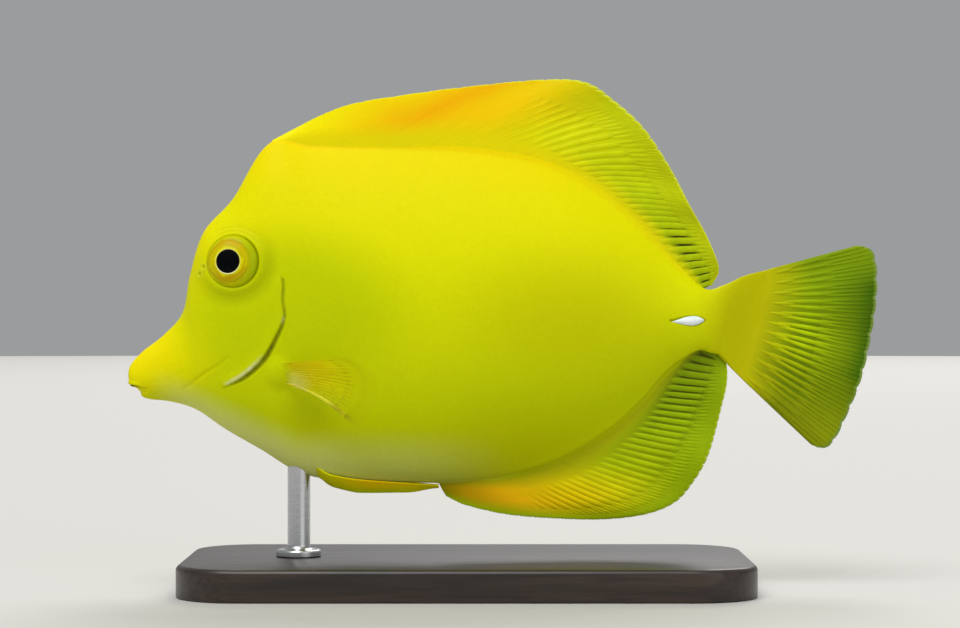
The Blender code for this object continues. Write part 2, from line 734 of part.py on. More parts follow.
def stand_base(material):
    """A flat plate with round corners and a bevelled top edge."""
    outline_points = []
    for quarter in range(4):
        middle_x = (BASE_LENGTH / 2 - BASE_CORNER) * (1 if quarter in (0, 3) else -1)
        middle_y = (BASE_WIDTH / 2 - BASE_CORNER) * (1 if quarter in (0, 1) else -1)
        for i in range(BASE_CORNER_STEPS + 1):
            turn = math.pi / 2 * (quarter + i / BASE_CORNER_STEPS)
            x = BASE_X + middle_x + BASE_CORNER * math.cos(turn)
            outline_points.append((x, middle_y + BASE_CORNER * math.sin(turn)))
    count = len(outline_points)
    points = [Vector((x, y, z)) for z in (0.0, BASE_HEIGHT) for x, y in outline_points]
    faces = [tuple(range(count)), tuple(range(count, 2 * count))]
    faces += [(i, (i + 1) % count, count + (i + 1) % count, count + i) for i in range(count)]
    made = mesh_object("stand_base", points, faces, material)
    bevel = made.modifiers.new("eased edge", "BEVEL")
    bevel.width = BASE_BEVEL * MM
    bevel.segments = BASE_BEVEL_STEPS
    bevel.limit_method = "ANGLE"
    return made


def stand_rod(material):
    """A turned rod with a foot, its top cut to the belly's shape."""
    foot = BASE_HEIGHT + GAP
    profile = (
        (FLANGE_RADIUS, foot),
        (FLANGE_RADIUS, foot + FLANGE_RIM * FLANGE_HEIGHT),
        (FLANGE_RADIUS - FLANGE_SLOPE, foot + FLANGE_HEIGHT),
        (ROD_RADIUS, foot + FLANGE_HEIGHT + FLANGE_SLOPE),
        (ROD_RADIUS, ROD_TOP_Z),
    )
    points = []
    for radius, z in profile:
        for i in range(ROD_SIDES):
            turn = 2 * math.pi * i / ROD_SIDES
            points.append(Vector((ROD_X + radius * math.cos(turn), radius * math.sin(turn), z)))
    faces = [tuple(range(ROD_SIDES)), tuple(range(len(points) - ROD_SIDES, len(points)))]
    for row in range(len(profile) - 1):
        for i in range(ROD_SIDES):
            k = (i + 1) % ROD_SIDES
            a, b = row * ROD_SIDES, (row + 1) * ROD_SIDES
            faces.append((a + i, a + k, b + k, b + i))
    made = mesh_object("stand_rod", points, faces, material)
    combine(made, [cutter_from("belly_clearance", *body_mesh(GAP))], "DIFFERENCE")
    return keep_largest(made)


def sway_object(obj):
    for vert in obj.data.vertices:
        vert.co = sway(vert.co / MM) * MM


def shade(obj):
    obj.data.shade_smooth()
    obj.data.set_sharp_from_angle(angle=SHARP_ANGLE)


def build():
    clear_scene()
    skin = finish("yellow skin", YELLOW, SATIN)
    gold = finish("golden fin", GOLD, SATIN)
    lime = finish("lime fin", LIME, SATIN)
    white = finish("white blade", WHITE, POLISHED)
    iris = finish("golden eye", IRIS, WET)
    ebony = finish("black stained wood", EBONY, WAXED)
    steel = finish("brushed steel", STEEL, POLISHED, 1.0)
    tree = flank_tree()

    body = part_body(skin)
    cutters = []
    for side, label in ((-1, "left"), (1, "right")):
        cutters.append(cutter_from("socket", *eye_shape(tree, side, GAP)))
        recess = cover_shape(tree, side, COVER_THICK + GAP, -RECESS_PROUD, GAP, COVER_OVERCUT)
        cutters.append(cutter_from("recess", *recess))
        for x, z in NOSTRILS:
            cutters.append(cutter_from("nostril", *nostril_shape(tree, x, z, side)))
        mesh_object("eye_" + label, *eye_shape(tree, side), iris)
        cover = cover_shape(tree, side, COVER_THICK, 0.0, 0.0, 0.0)
        mesh_object("gill_cover_" + label, *cover, skin)
        mesh_object("tail_blade_" + label, *blade_shape(tree, side), white, swayed=True)
        pectoral_fin("pectoral_fin_" + label, tree, side, gold)
        pelvic_fin("pelvic_fin_" + label, side, gold)
    combine(body["head"], cutters, "DIFFERENCE")
    combine(body["head"], [cutter_from("lip", *lip_roll(tree, 1))], "UNION")
    body["head"] = keep_largest(body["head"])
    combine(body["lower_jaw"], [cutter_from("lip", *lip_roll(tree, -1))], "UNION")
    body["lower_jaw"] = keep_largest(body["lower_jaw"])
    grooves = [cutter_from("groove", *blade_shape(tree, side, GAP)) for side in (-1, 1)]
    combine(body["tail_stalk"], grooves, "DIFFERENCE")
    body["tail_stalk"] = keep_largest(body["tail_stalk"])
    for piece in body.values():
        sway_object(piece)

    median_fin("dorsal_fin", DORSAL_GUIDES, back_line, DORSAL_RAYS, DORSAL_BOW, gold)
    median_fin("anal_fin", ANAL_GUIDES, belly_line, ANAL_RAYS, ANAL_BOW, gold)
    tail_fin(lime)
    stand_base(ebony)
    stand_rod(steel)
    for obj in bpy.context.scene.objects:
        shade(obj)


build()
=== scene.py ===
"""A yellow tang, life size, in a swimming pose on a plain display stand: the surfaces round the solids.

The fish looks towards -X and shows its left flank to -Y. Sizes are in millimetres until a mesh is made.
"""

import math

import bmesh
import bpy
import numpy as np
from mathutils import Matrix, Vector
from mathutils.bvhtree import BVHTree


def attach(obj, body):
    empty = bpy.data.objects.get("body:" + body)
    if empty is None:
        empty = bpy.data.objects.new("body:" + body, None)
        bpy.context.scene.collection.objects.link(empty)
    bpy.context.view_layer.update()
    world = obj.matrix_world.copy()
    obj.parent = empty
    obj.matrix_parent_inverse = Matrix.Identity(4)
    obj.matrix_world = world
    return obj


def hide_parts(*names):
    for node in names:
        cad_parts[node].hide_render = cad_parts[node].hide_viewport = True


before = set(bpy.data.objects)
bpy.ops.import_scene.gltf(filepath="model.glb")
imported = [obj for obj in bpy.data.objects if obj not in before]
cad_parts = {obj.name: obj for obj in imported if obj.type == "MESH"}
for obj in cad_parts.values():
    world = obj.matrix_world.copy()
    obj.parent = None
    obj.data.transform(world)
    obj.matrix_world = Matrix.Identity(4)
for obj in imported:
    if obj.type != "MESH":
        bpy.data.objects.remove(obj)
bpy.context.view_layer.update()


# The skin of head, body and tail stalk.
# A real tang wears one thick, elastic skin set with tiny rough scales under a film of mucus. It is lofted
# here in one piece over the flesh, with lips, nostrils, orbits, gill openings and fin sheaths pressed into it.
MM = 0.001

# One row for each upright section: back x and z, belly x and z, half width, how far up the widest place lies,
# how pinched the section is above and below that place, and half the flat that closes it.
STATIONS = (
    (-82.6, 46.6, -82.6, 46.6, 0.0, 0.50, 0.50, 0.50, 0.0),  # snout tip
    (-82.0, 49.1, -81.7, 44.0, 2.4, 0.50, 0.50, 0.50, 0.2),  # lips
    (-79.3, 52.1, -78.7, 41.8, 3.3, 0.45, 0.50, 0.50, 0.3),  # corner of the mouth
    (-74.7, 55.7, -73.4, 41.1, 4.0, 0.45, 0.50, 0.55, 0.4),  # snout
    (-70.5, 60.7, -67.7, 39.4, 5.2, 0.45, 0.55, 0.60, 0.5),  # root of the snout
    (-68.9, 68.9, -61.1, 35.0, 6.9, 0.50, 0.50, 0.65, 0.5),  # cheek
    (-65.9, 78.3, -53.1, 30.4, 8.4, 0.55, 0.50, 0.65, 0.6),  # brow
    (-59.5, 85.6, -44.8, 25.5, 9.4, 0.55, 0.60, 0.60, 0.7),  # forehead and chest
    (-51.6, 97.6, -34.9, 23.5, 10.1, 0.52, 0.80, 0.60, 0.7),  # nape
    (-41.5, 97.0, -22.8, 23.3, 10.5, 0.52, 0.95, 0.60, 0.6),  # shoulder
    (-21.0, 96.6, -10.7, 23.3, 10.4, 0.52, 1.10, 0.70, 0.5),
    (-5.2, 95.7, 1.4, 24.9, 10.0, 0.52, 1.15, 0.95, 0.5),  # flank
    (9.4, 92.8, 12.4, 28.4, 9.0, 0.52, 1.20, 1.10, 0.5),
    (19.5, 87.6, 22.6, 34.5, 7.6, 0.52, 1.20, 1.15, 0.5),
    (28.6, 80.1, 30.0, 41.1, 6.0, 0.51, 1.15, 1.10, 0.5),
    (36.6, 71.6, 36.2, 48.0, 4.4, 0.50, 0.95, 0.90, 0.6),
    (44.1, 66.0, 42.4, 52.1, 3.3, 0.50, 0.55, 0.55, 0.8),  # narrowest part of the tail stalk
    (48.7, 66.7, 45.7, 51.7, 2.5, 0.50, 0.50, 0.50, 0.8),
    (53.1, 68.7, 48.1, 50.9, 1.4, 0.50, 0.50, 0.50, 0.6),  # root of the tail fin
    (57.7, 69.9, 51.7, 46.9, 0.42, 0.50, 0.50, 0.50, 0.2),
    (61.5, 70.7, 54.6, 44.5, 0.07, 0.50, 0.50, 0.50, 0.05),  # skin that runs out on the tail fin
)
KNOTS = tuple(range(len(STATIONS)))
CELLS_BETWEEN_STATIONS = (4, 4, 6, 7, 9, 10, 10, 14, 13, 18, 16, 15, 12, 12, 11, 9, 8, 8, 7, 7)
FLANK_CELLS = 84
SHEATH_CELLS = 5

# The skin climbs onto the roots of the dorsal and anal fins: station, height of this sheath.
BACK_SHEATH = ((0.0, 0.0), (7.9, 0.0), (8.8, 1.0), (10.5, 1.5), (13.0, 1.5), (15.2, 1.2), (16.0, 0.0), (20.0, 0.0))
BELLY_SHEATH = ((0.0, 0.0), (9.6, 0.0), (10.3, 0.9), (12.0, 1.2), (14.0, 1.3), (15.2, 1.1), (15.8, 0.0), (20.0, 0.0))
SHEATH_TOP_HALF = 0.20
SHEATH_SHARE = 0.08  # of the flank's height in the skin's own coordinates

SWAY_START_X = 12.0
SWAY_END_X = 83.0
SWAY = 4.0


def smooth(knots, rows, at):
    """Rows of a smooth curve through the given rows, one for each value in at."""
    knots, rows, at = (np.asarray(given, float) for given in (knots, rows, at))
    rise = np.empty_like(rows)
    rise[1:-1] = (rows[2:] - rows[:-2]) / (knots[2:] - knots[:-2])[:, None]
    rise[0] = (rows[1] - rows[0]) / (knots[1] - knots[0])
    rise[-1] = (rows[-1] - rows[-2]) / (knots[-1] - knots[-2])
    i = np.clip(np.searchsorted(knots, at, side="right") - 1, 0, len(knots) - 2)
    span = (knots[i + 1] - knots[i])[:, None]
    t = (at - knots[i])[:, None] / span
    found = (2 * t**3 - 3 * t**2 + 1) * rows[i] + (3 * t**2 - 2 * t**3) * rows[i + 1]
    return found + (t**3 - 2 * t**2 + t) * span * rise[i] + (t**3 - t**2) * span * rise[i + 1]


def ease(low, high, value):
    """0 below low, 1 above high, and a soft step between."""
    t = np.clip((np.asarray(value, float) - low) / (high - low), 0.0, 1.0)
    return t * t * (3 - 2 * t)


def sway(points):
    """The body's gentle swing to one side, which grows towards the tail."""
    points = np.array(points, float)
    points[:, 1] += SWAY * ease(SWAY_START_X, SWAY_END_X, points[:, 0])
    return points


def outline(station, back, lift):
    """Points on the back's or the belly's outline, lifted off it at a right angle, as x and z."""
    columns = slice(0, 2) if back else slice(2, 4)
    step = 0.02
    here = smooth(KNOTS, STATIONS, station)[:, columns]
    before = smooth(KNOTS, STATIONS, np.clip(station - step, 0, KNOTS[-1]))[:, columns]
    after = smooth(KNOTS, STATIONS, np.clip(station + step, 0, KNOTS[-1]))[:, columns]
    along = after - before
    along /= np.linalg.norm(along, axis=1)[:, None]
    away = np.stack((-along[:, 1], along[:, 0]), axis=1) * (1 if back else -1)
    return here + away * np.reshape(lift, (-1, 1))


def section_point(station, angle, grow=0.0):
    """Points of the left flank by the angle round its section, -90 degrees at the belly and 90 at the back."""
    row = smooth(KNOTS, STATIONS, station)
    back, belly = row[:, 0:2], row[:, 2:4]
    width, widest, above, below, flat = row[:, 4:].T
    height = back - belly
    reach = np.reshape(grow, (-1, 1)) * height / np.maximum(np.linalg.norm(height, axis=1), 1e-6)[:, None]
    back, belly = back + reach, belly - reach
    middle = belly + (back - belly) * widest[:, None]
    end = np.where((angle >= 0)[:, None], back, belly)
    place = middle + (end - middle) * np.abs(np.sin(angle))[:, None]
    pinch = np.where(angle >= 0, above, below)
    flat = np.clip(flat, 0.0, None)
    half = flat + (width + grow - flat) * np.clip(np.cos(angle), 0, None) ** (2 * pinch)
    return np.stack((place[:, 0], -half, place[:, 1]), axis=1), flat, width


def left_flank(station, rise):
    """Points of the left flank: rise runs from -1 at the belly to 1 at the back, and past them up the sheaths."""
    inner = np.clip(rise, -1, 1)
    angle = 0.5 * (inner * math.pi / 2 + np.arcsin(inner))
    place, flat, width = section_point(station, angle)
    half, place = -place[:, 1], place[:, (0, 2)]
    climb = np.clip((np.abs(rise) - 1) / SHEATH_SHARE, 0, 1)
    for is_back, table in ((True, BACK_SHEATH), (False, BELLY_SHEATH)):
        chosen = (rise > 1) if is_back else (rise < -1)
        height = np.interp(station, *zip(*table)) * climb
        place = np.where(chosen[:, None], outline(station, is_back, height), place)
    half = np.where(climb > 0, flat + (SHEATH_TOP_HALF - flat) * climb, half)
    half = np.minimum(half, np.where(station < 0.2, width, half))
    return np.stack((place[:, 0], -half, place[:, 1]), axis=1)


# Forms pressed into the skin, as lines and places in the side view.
GILL_OPENING = (
    (-48.5, 68.4),
    (-48.0, 66.7),
    (-48.1, 63.0),
    (-47.8, 59.4),
    (-49.7, 55.1),
    (-52.6, 50.4),
    (-56.7, 46.7),
    (-61.0, 44.4),
)
GILL_WIDTH = ((0.0, 0.1), (0.08, 0.50), (0.30, 0.45), (0.45, 0.55), (0.68, 0.95), (0.85, 0.8), (1.0, 0.2))
GILL_DEPTH = 0.62
CHEEK_CREASE = ((-59.5, 51.4), (-61.4, 49.6), (-65.4, 47.2), (-68.4, 44.9), (-70.5, 43.6))
MOUTH = ((-84.0, 44.35), (-82.0, 44.45), (-80.6, 44.45), (-79.4, 44.20), (-77.9, 43.7), (-76.4, 43.2))
MOUTH_OPENING = ((0.0, 0.36), (0.22, 0.30), (0.36, 0.10), (0.48, 0.03), (1.0, 0.0))
MOUTH_DEPTH = 0.8
JAW_SET_BACK = 1.5
EYE_PLACE = (-58.80, 71.65)
EYE_RADIUS = 6.0
NOSTRILS = ((-66.4, 69.0, 0.50), (-65.3, 70.4, 0.62))
PECTORAL_ROOT = ((-47.9, 49.6), (-46.6, 45.2))
BLADE_LINE = ((36.7, 58.8), (44.1, 58.8))


def line_distance(line, x, z, samples=90):
    """Signed distance of points to a smooth line in the side view, and how far along it each lies, 0 to 1.
    The distance is positive on the left of the line's own direction."""
    knots = np.arange(len(line))
    path = smooth(knots, line, np.linspace(0, len(line) - 1, samples))
    start, along = path[:-1], np.diff(path, axis=0)
    best = np.full(len(x), 1e9)
    side, share = np.ones(len(x)), np.zeros(len(x))
    for i, (a, d) in enumerate(zip(start, along)):
        rx, rz = x - a[0], z - a[1]
        t = np.clip((rx * d[0] + rz * d[1]) / (d @ d), 0, 1)
        gap = np.hypot(rx - t * d[0], rz - t * d[1])
        closer = gap < best
        best = np.where(closer, gap, best)
        side = np.where(closer, np.sign(d[0] * rz - d[1] * rx), side)
        share = np.where(closer, (i + t) / len(along), share)
    return best * np.where(side == 0, 1, side), share


def table_value(table, at):
    return np.interp(at, *zip(*table))


def press_forms(x, z):
    """How far the skin is raised at each place of the side view, with masks for its colours."""
    lift = np.zeros(len(x))
    masks = {name: np.zeros(len(x)) for name in ("shade", "pale", "gold", "slit")}

    # Gill opening: the cover's thin edge stands over a slit that runs down to the throat.
    gap, share = line_distance(GILL_OPENING, x, z)
    width = table_value(GILL_WIDTH, share)
    open_here = np.clip(width / 0.5, 0, 1) * (1 - ease(0.0, 0.6, np.abs(gap) * (share <= 0) + np.abs(gap) * (share >= 1)))
    cover = ease(-2.6, -0.3, gap) * (1 - ease(-0.12, 0.10, gap))
    slit = ease(-0.12, 0.16, gap) * (1 - ease(width * 0.5, width * 1.3 + 0.3, gap))
    lift += open_here * (0.24 * cover - GILL_DEPTH * np.clip(width, 0.25, 1.0) * slit)
    # The groove under the cover's edge is painted dark with shade.
    masks["slit"] = open_here * slit * np.clip(0.30 + 0.55 * width, 0, 0.85)
    lower_end = ease(0.66, 0.80, share) * (1 - ease(0.97, 1.0, share))
    lower_end *= ease(-1.10, -0.55, gap) * (1 - ease(-0.05, 0.12, gap))
    notch = (1 - ease(0.0, 0.04, np.abs(share - 0.44))) * ease(-0.4, -0.1, gap) * (1 - ease(0.15, 0.5, gap))
    masks["pale"] = np.maximum(masks["pale"], open_here * np.maximum(0.75 * lower_end, 0.4 * notch))

    # Crease of the cheek in front of the gill cover.
    gap, share = line_distance(CHEEK_CREASE, x, z)
    crease = (1 - ease(0.0, 0.75, np.abs(gap))) * np.sin(math.pi * np.clip(share, 0, 1)) ** 0.7
    lift -= 0.12 * crease
    masks["shade"] = np.maximum(masks["shade"], 0.08 * crease)
    masks["gold"] = 0.08 * crease

    # Mouth: a short slit between two rolled lips, the lower one set back.
    gap, share = line_distance(MOUTH, x, z)
    opening = table_value(MOUTH_OPENING, share)
    beside = np.abs(gap) - opening
    line_here = 1 - ease(0.34, 0.66, share)
    slit = (1 - ease(-0.15, 0.22, beside)) * line_here
    lip = ease(-0.05, 0.30, beside) * (1 - ease(0.45, 1.15, beside)) * line_here
    lift += 0.24 * lip - MOUTH_DEPTH * slit * (1 - 0.6 * ease(0.3, 0.7, share))
    masks["shade"] = np.maximum(masks["shade"], slit)

    # Orbit: a raised ring round the eye, hollow inside it.
    away = np.hypot(x - EYE_PLACE[0], z - EYE_PLACE[1])
    rim = ease(EYE_RADIUS - 0.40, EYE_RADIUS - 0.05, away) * (1 - ease(EYE_RADIUS + 0.1, EYE_RADIUS + 2.0, away))
    lift += 0.30 * rim - 2.6 * (1 - ease(EYE_RADIUS - 1.1, EYE_RADIUS - 0.28, away))
    lower_rear = ease(-1.0, 1.0, (0.5 * (x - EYE_PLACE[0]) - 0.86 * (z - EYE_PLACE[1])) / EYE_RADIUS)
    fold = 1 - ease(EYE_RADIUS - 0.30, EYE_RADIUS + 0.05, away)
    masks["shade"] = np.maximum(masks["shade"], fold * (0.15 + 0.45 * lower_rear))
    above = ease(-1.0, 2.0, z - EYE_PLACE[1]) * (1 - ease(3.5, 5.5, np.abs(x - EYE_PLACE[0] - 1.0)))
    for fold_radius in (6.75, 7.6):
        fold = above * (1 - ease(0.0, 0.38, np.abs(away - fold_radius)))
        lift -= 0.15 * fold
        masks["shade"] = np.maximum(masks["shade"], 0.13 * fold)
    below = (1 - ease(0.0, 3.0, np.abs(away - EYE_RADIUS - 1.8))) * lower_rear
    lift -= 0.14 * below
    masks["shade"] = np.maximum(masks["shade"], 0.24 * below)

    for nostril_x, nostril_z, size in NOSTRILS:
        away = np.hypot(x - nostril_x, z - nostril_z)
        rim = 1 - ease(0.0, 0.5, np.abs(away - size * 1.15))
        lift += 0.10 * rim - 0.28 * (1 - ease(size * 0.45, size, away))
        masks["shade"] = np.maximum(masks["shade"], 0.10 * (1 - ease(size * 0.5, size, away)))
        masks["pale"] = np.maximum(masks["pale"], 0.05 * rim)

    # The fleshy base of the pectoral fin, and a painted shadow of the fin on the flank below it.
    (x0, z0), (x1, z1) = PECTORAL_ROOT
    centre_x, centre_z = (x0 + x1) / 2 - 1.6, (z0 + z1) / 2 + 0.2
    pad = 1 - ease(0.25, 1.0, np.hypot((x - centre_x) / 3.4, (z - centre_z) / 4.2))
    lift += 0.75 * pad
    painted_fin_shadow = 1 - ease(0.2, 1.1, np.hypot((x + 42.5) / 8.0, (z - 39.5) / 8.0))
    masks["shade"] = np.maximum(masks["shade"], 0.16 * painted_fin_shadow)

    # The groove that the tail blade folds into.
    gap, share = line_distance(BLADE_LINE, x, z, 12)
    reach = 1.0 * np.sin(math.pi * np.clip(share**1.5, 0.02, 0.98)) ** 0.7
    groove = 1 - ease(reach * 0.85, reach + 0.40, np.abs(gap))
    lift -= 0.35 * groove
    masks["shade"] = np.maximum(masks["shade"], 0.35 * groove)

    # Where the colour is darker and more olive over cheek and shoulder, warmer over the tail stalk, and pale over the
    # throat and belly.
    masks["deep"] = 1 - ease(0.45, 1.25, np.hypot((x + 47.0) / 27.0, (z - 62.0) / 17.0))
    warm = 1 - ease(0.1, 1.3, np.hypot((x - 14.0) / 26.0, (z - 62.0) / 15.0))
    masks["stalk"] = np.maximum(ease(40.0, 52.0, x), 0.5 * warm)
    low = z - 27.0 - 0.45 * np.maximum(-45.0 - x, 0)
    rearward = (1 - 0.5 * ease(-48.0, -28.0, x)) * (1 - ease(-26.0, 4.0, x))
    masks["throat"] = rearward * ease(-78.0, -67.0, x) * (1 - ease(0.0, 9.0, low))
    return lift, masks


def detail_reach(x, z):
    """How far each place is from the nearest pressed form, in millimetres."""
    found = np.full(len(x), 1e9)
    for line in (GILL_OPENING, MOUTH, CHEEK_CREASE, BLADE_LINE):
        gap, _ = line_distance(line, x, z, 30)
        found = np.minimum(found, np.maximum(np.abs(gap) - 0.9, 0))
    away = np.hypot(x - EYE_PLACE[0], z - EYE_PLACE[1])
    found = np.minimum(found, np.maximum(np.abs(away - EYE_RADIUS) - 0.6, 0))
    for nostril_x, nostril_z, _ in NOSTRILS:
        found = np.minimum(found, np.hypot(x - nostril_x, z - nostril_z))
    return found


def flank_net():
    """Flat net of the flank in station and rise, finer round the pressed forms."""
    net = bmesh.new()
    stations = [0.05]
    for i, cells in enumerate(CELLS_BETWEEN_STATIONS):
        stations += [i + (j + 1) / cells for j in range(cells)]
    rises = [-1 - SHEATH_SHARE * (1 - j / SHEATH_CELLS) for j in range(SHEATH_CELLS)]
    rises += [-1 + 2 * j / FLANK_CELLS for j in range(FLANK_CELLS + 1)]
    rises += [1 + SHEATH_SHARE * (j + 1) / SHEATH_CELLS for j in range(SHEATH_CELLS)]
    grid = [[net.verts.new((s, r, 0)) for r in rises] for s in stations]
    for i in range(len(stations) - 1):
        for j in range(len(rises) - 1):
            net.faces.new((grid[i][j], grid[i][j + 1], grid[i + 1][j + 1], grid[i + 1][j]))
    for reach in (1.3, 0.7):
        centres = np.array([tuple(face.calc_center_median())[:2] for face in net.faces])
        places = left_flank(centres[:, 0], centres[:, 1])
        near = detail_reach(places[:, 0], places[:, 2]) < reach
        near &= np.abs(centres[:, 1]) < 1
        edges = {edge for face, chosen in zip(net.faces, near) if chosen for edge in face.edges}
        ordered = sorted(edges, key=lambda edge: edge.index)
        bmesh.ops.subdivide_edges(net, edges=ordered, cuts=1, use_grid_fill=True)
        net.edges.index_update()
    return net


def surface_normals(station, rise):
    """Outward directions of the smooth flank."""
    step = 0.01
    low_s, high_s = np.clip(station - step, 0.02, KNOTS[-1]), np.clip(station + step, 0.02, KNOTS[-1])
    low_r, high_r = np.clip(rise - step, -1, 1), np.clip(rise + step, -1, 1)
    along = left_flank(high_s, rise) - left_flank(low_s, rise)
    up = left_flank(station, high_r) - left_flank(station, low_r)
    found = np.cross(along, up)
    return found / np.maximum(np.linalg.norm(found, axis=1), 1e-9)[:, None]


def new_piece(name, mesh):
    made = bpy.data.objects.new(name, mesh)
    bpy.context.scene.collection.objects.link(made)
    return made


def store(mesh, name, values):
    """Keeps one number for each point of a mesh, for its material to read."""
    layer = mesh.attributes.new(name, "FLOAT", "POINT")
    layer.data.foreach_set("value", np.asarray(values, np.float32))


def build_skin():
    net = flank_net()
    bmesh.ops.triangulate(net, faces=[face for face in net.faces if len(face.verts) > 4])
    net.verts.index_update()
    flat = np.array([tuple(vert.co)[:2] for vert in net.verts])
    faces = [[vert.index for vert in face.verts] for face in net.faces]
    border = [[vert.index for vert in edge.verts] for edge in net.edges if edge.is_boundary]
    net.free()
    station, rise = flat[:, 0], flat[:, 1]
    places = left_flank(station, rise)
    lift, masks = press_forms(places[:, 0], places[:, 2])
    lift *= 1 - ease(0.97, 1.0, np.abs(rise))
    places += surface_normals(station, rise) * lift[:, None]
    places[:, 1] = np.minimum(places[:, 1], -0.02)
    jaw = (1 - ease(43.9, 44.5, places[:, 2])) * (1 - ease(-80.6, -76.5, places[:, 0]))
    places[:, 0] += JAW_SET_BACK * jaw * ease(41.7, 43.9, places[:, 2])
    back_line = ease(0.955, 1.0, rise) * ease(8.1, 8.6, station) * (1 - 0.4 * ease(10.2, 11.6, station)) * (1 - ease(15.3, 16.0, station))
    masks["gold"] = np.maximum(masks["gold"], 0.3 * back_line)
    crease = ease(0.93, 1.0, -rise) * ease(10.3, 11.5, station) * (1 - ease(15.6, 16.2, station))
    masks["shade"] = np.maximum(masks["shade"], 0.34 * crease)
    mirrored = places * (1, -1, 1)
    count = len(places)
    shell = bmesh.new()
    verts = [shell.verts.new(Vector(p) * MM) for p in sway(np.vstack((places, mirrored)))]
    for face in faces:
        shell.faces.new([verts[i] for i in face])
        shell.faces.new([verts[i + count] for i in reversed(face)])
    for a, b in border:
        shell.faces.new((verts[a], verts[b], verts[b + count], verts[a + count]))
    bmesh.ops.recalc_face_normals(shell, faces=shell.faces)
    mesh = bpy.data.meshes.new("skin")
    shell.to_mesh(mesh)
    shell.free()
    mesh.shade_smooth()
    for name, values in masks.items():
        store(mesh, name, np.tile(values, 2))
    store(mesh, "height", np.tile(rise, 2))
    store(mesh, "station", np.tile(station, 2))
    return new_piece("skin", mesh)


skin = build_skin()


def flank_tree():
    """The smooth left flank without its pressed forms, for what is set on it."""
    stations, rises = np.linspace(0.05, KNOTS[-1], 260), np.linspace(-1, 1, 150)
    s, r = np.meshgrid(stations, rises, indexing="ij")
    points = left_flank(s.ravel(), r.ravel())
    columns = len(rises)
    faces = [
        (i * columns + j, (i + 1) * columns + j, (i + 1) * columns + j + 1, i * columns + j + 1)
        for i in range(len(stations) - 1)
        for j in range(columns - 1)
    ]
    return BVHTree.FromPolygons([Vector(p) for p in points], faces)


FLANK = flank_tree()


def on_flank(x, z):
    """The point of the left flank at a place of the side view, and its outward direction."""
    place, normal, _, _ = FLANK.ray_cast(Vector((x, -40.0, z)), Vector((0, 1, 0)))
    return place, normal if normal.y < 0 else -normal


def linear(code):
    """An sRGB hex colour as the linear values that a shader takes."""
    parts = [int(code[i : i + 2], 16) / 255 for i in (1, 3, 5)]
    return (*(p / 12.92 if p <= 0.04045 else ((p + 0.055) / 1.055) ** 2.4 for p in parts), 1.0)


def add(tree, kind, links=None, **settings):
    """Adds a node with its settings; links gives its inputs a value or another node's output."""
    made = tree.nodes.new(kind)
    for name, value in settings.items():
        setattr(made, name, value)
    for socket, value in (links or {}).items():
        if isinstance(value, bpy.types.NodeSocket):
            tree.links.new(value, made.inputs[socket])
        else:
            made.inputs[socket].default_value = value
    return made


def new_material(name, **sockets):
    """A material with the shader's uniform values set directly on its sockets."""
    material = bpy.data.materials.new(name)
    material.use_nodes = True
    shader = material.node_tree.nodes["Principled BSDF"]
    for socket, value in sockets.items():
        shader.inputs[socket.replace("_", " ")].default_value = value
    return material, material.node_tree, shader


def set_stops(ramp, stops):
    """Fills a colour ramp from places and sRGB colours."""
    elements = ramp.color_ramp.elements
    while len(elements) > len(stops):
        elements.remove(elements[-1])
    while len(elements) < len(stops):
        elements.new(1.0)
    for element, (place, code) in zip(elements, stops):
        element.position = place
        element.color = linear(code)


def socket_of(sockets, name, kind):
    return next(found for found in sockets if found.name == name and found.type == kind)


def mix_colour(tree, factor, first, second, blend="MIX"):
    """A node that mixes two colours, each a code or another node's output."""
    mixed = add(tree, "ShaderNodeMix", {"Factor": factor}, data_type="RGBA", blend_type=blend)
    for name, colour in (("A", first), ("B", second)):
        target = socket_of(mixed.inputs, name, "RGBA")
        if isinstance(colour, str):
            target.default_value = linear(colour)
        else:
            tree.links.new(colour, target)
    return socket_of(mixed.outputs, "Result", "RGBA")


def between(tree, value, low, high, top=1.0, bottom=0.0):
    """Runs from bottom to top as the value runs from low to high."""
    spread = {"Value": value, "From Min": low, "From Max": high, "To Min": bottom, "To Max": top}
    return add(tree, "ShaderNodeMapRange", spread).outputs[0]


def product(tree, *values):
    found = values[0]
    for value in values[1:]:
        found = add(tree, "ShaderNodeMath", {0: found, 1: value}, operation="MULTIPLY").outputs[0]
    return found


def total(tree, first, second, clamp=False):
    return add(tree, "ShaderNodeMath", {0: first, 1: second}, operation="ADD", use_clamp=clamp).outputs[0]


def mark(tree, name):
    """A number stored on the mesh."""
    return add(tree, "ShaderNodeAttribute", attribute_name=name).outputs["Fac"]


def noise(tree, where, scale, detail=3.0):
    return add(tree, "ShaderNodeTexNoise", {"Vector": where, "Scale": scale, "Detail": detail}).outputs["Fac"]


def ramp(tree, value, stops):
    made = add(tree, "ShaderNodeValToRGB", {"Fac": value})
    set_stops(made, stops)
    return made.outputs[0]


def raise_bump(tree, shader, height, strength, distance):
    bump = add(tree, "ShaderNodeBump", {"Height": height, "Strength": strength, "Distance": distance})
    tree.links.new(bump.outputs[0], shader.inputs["Normal"])


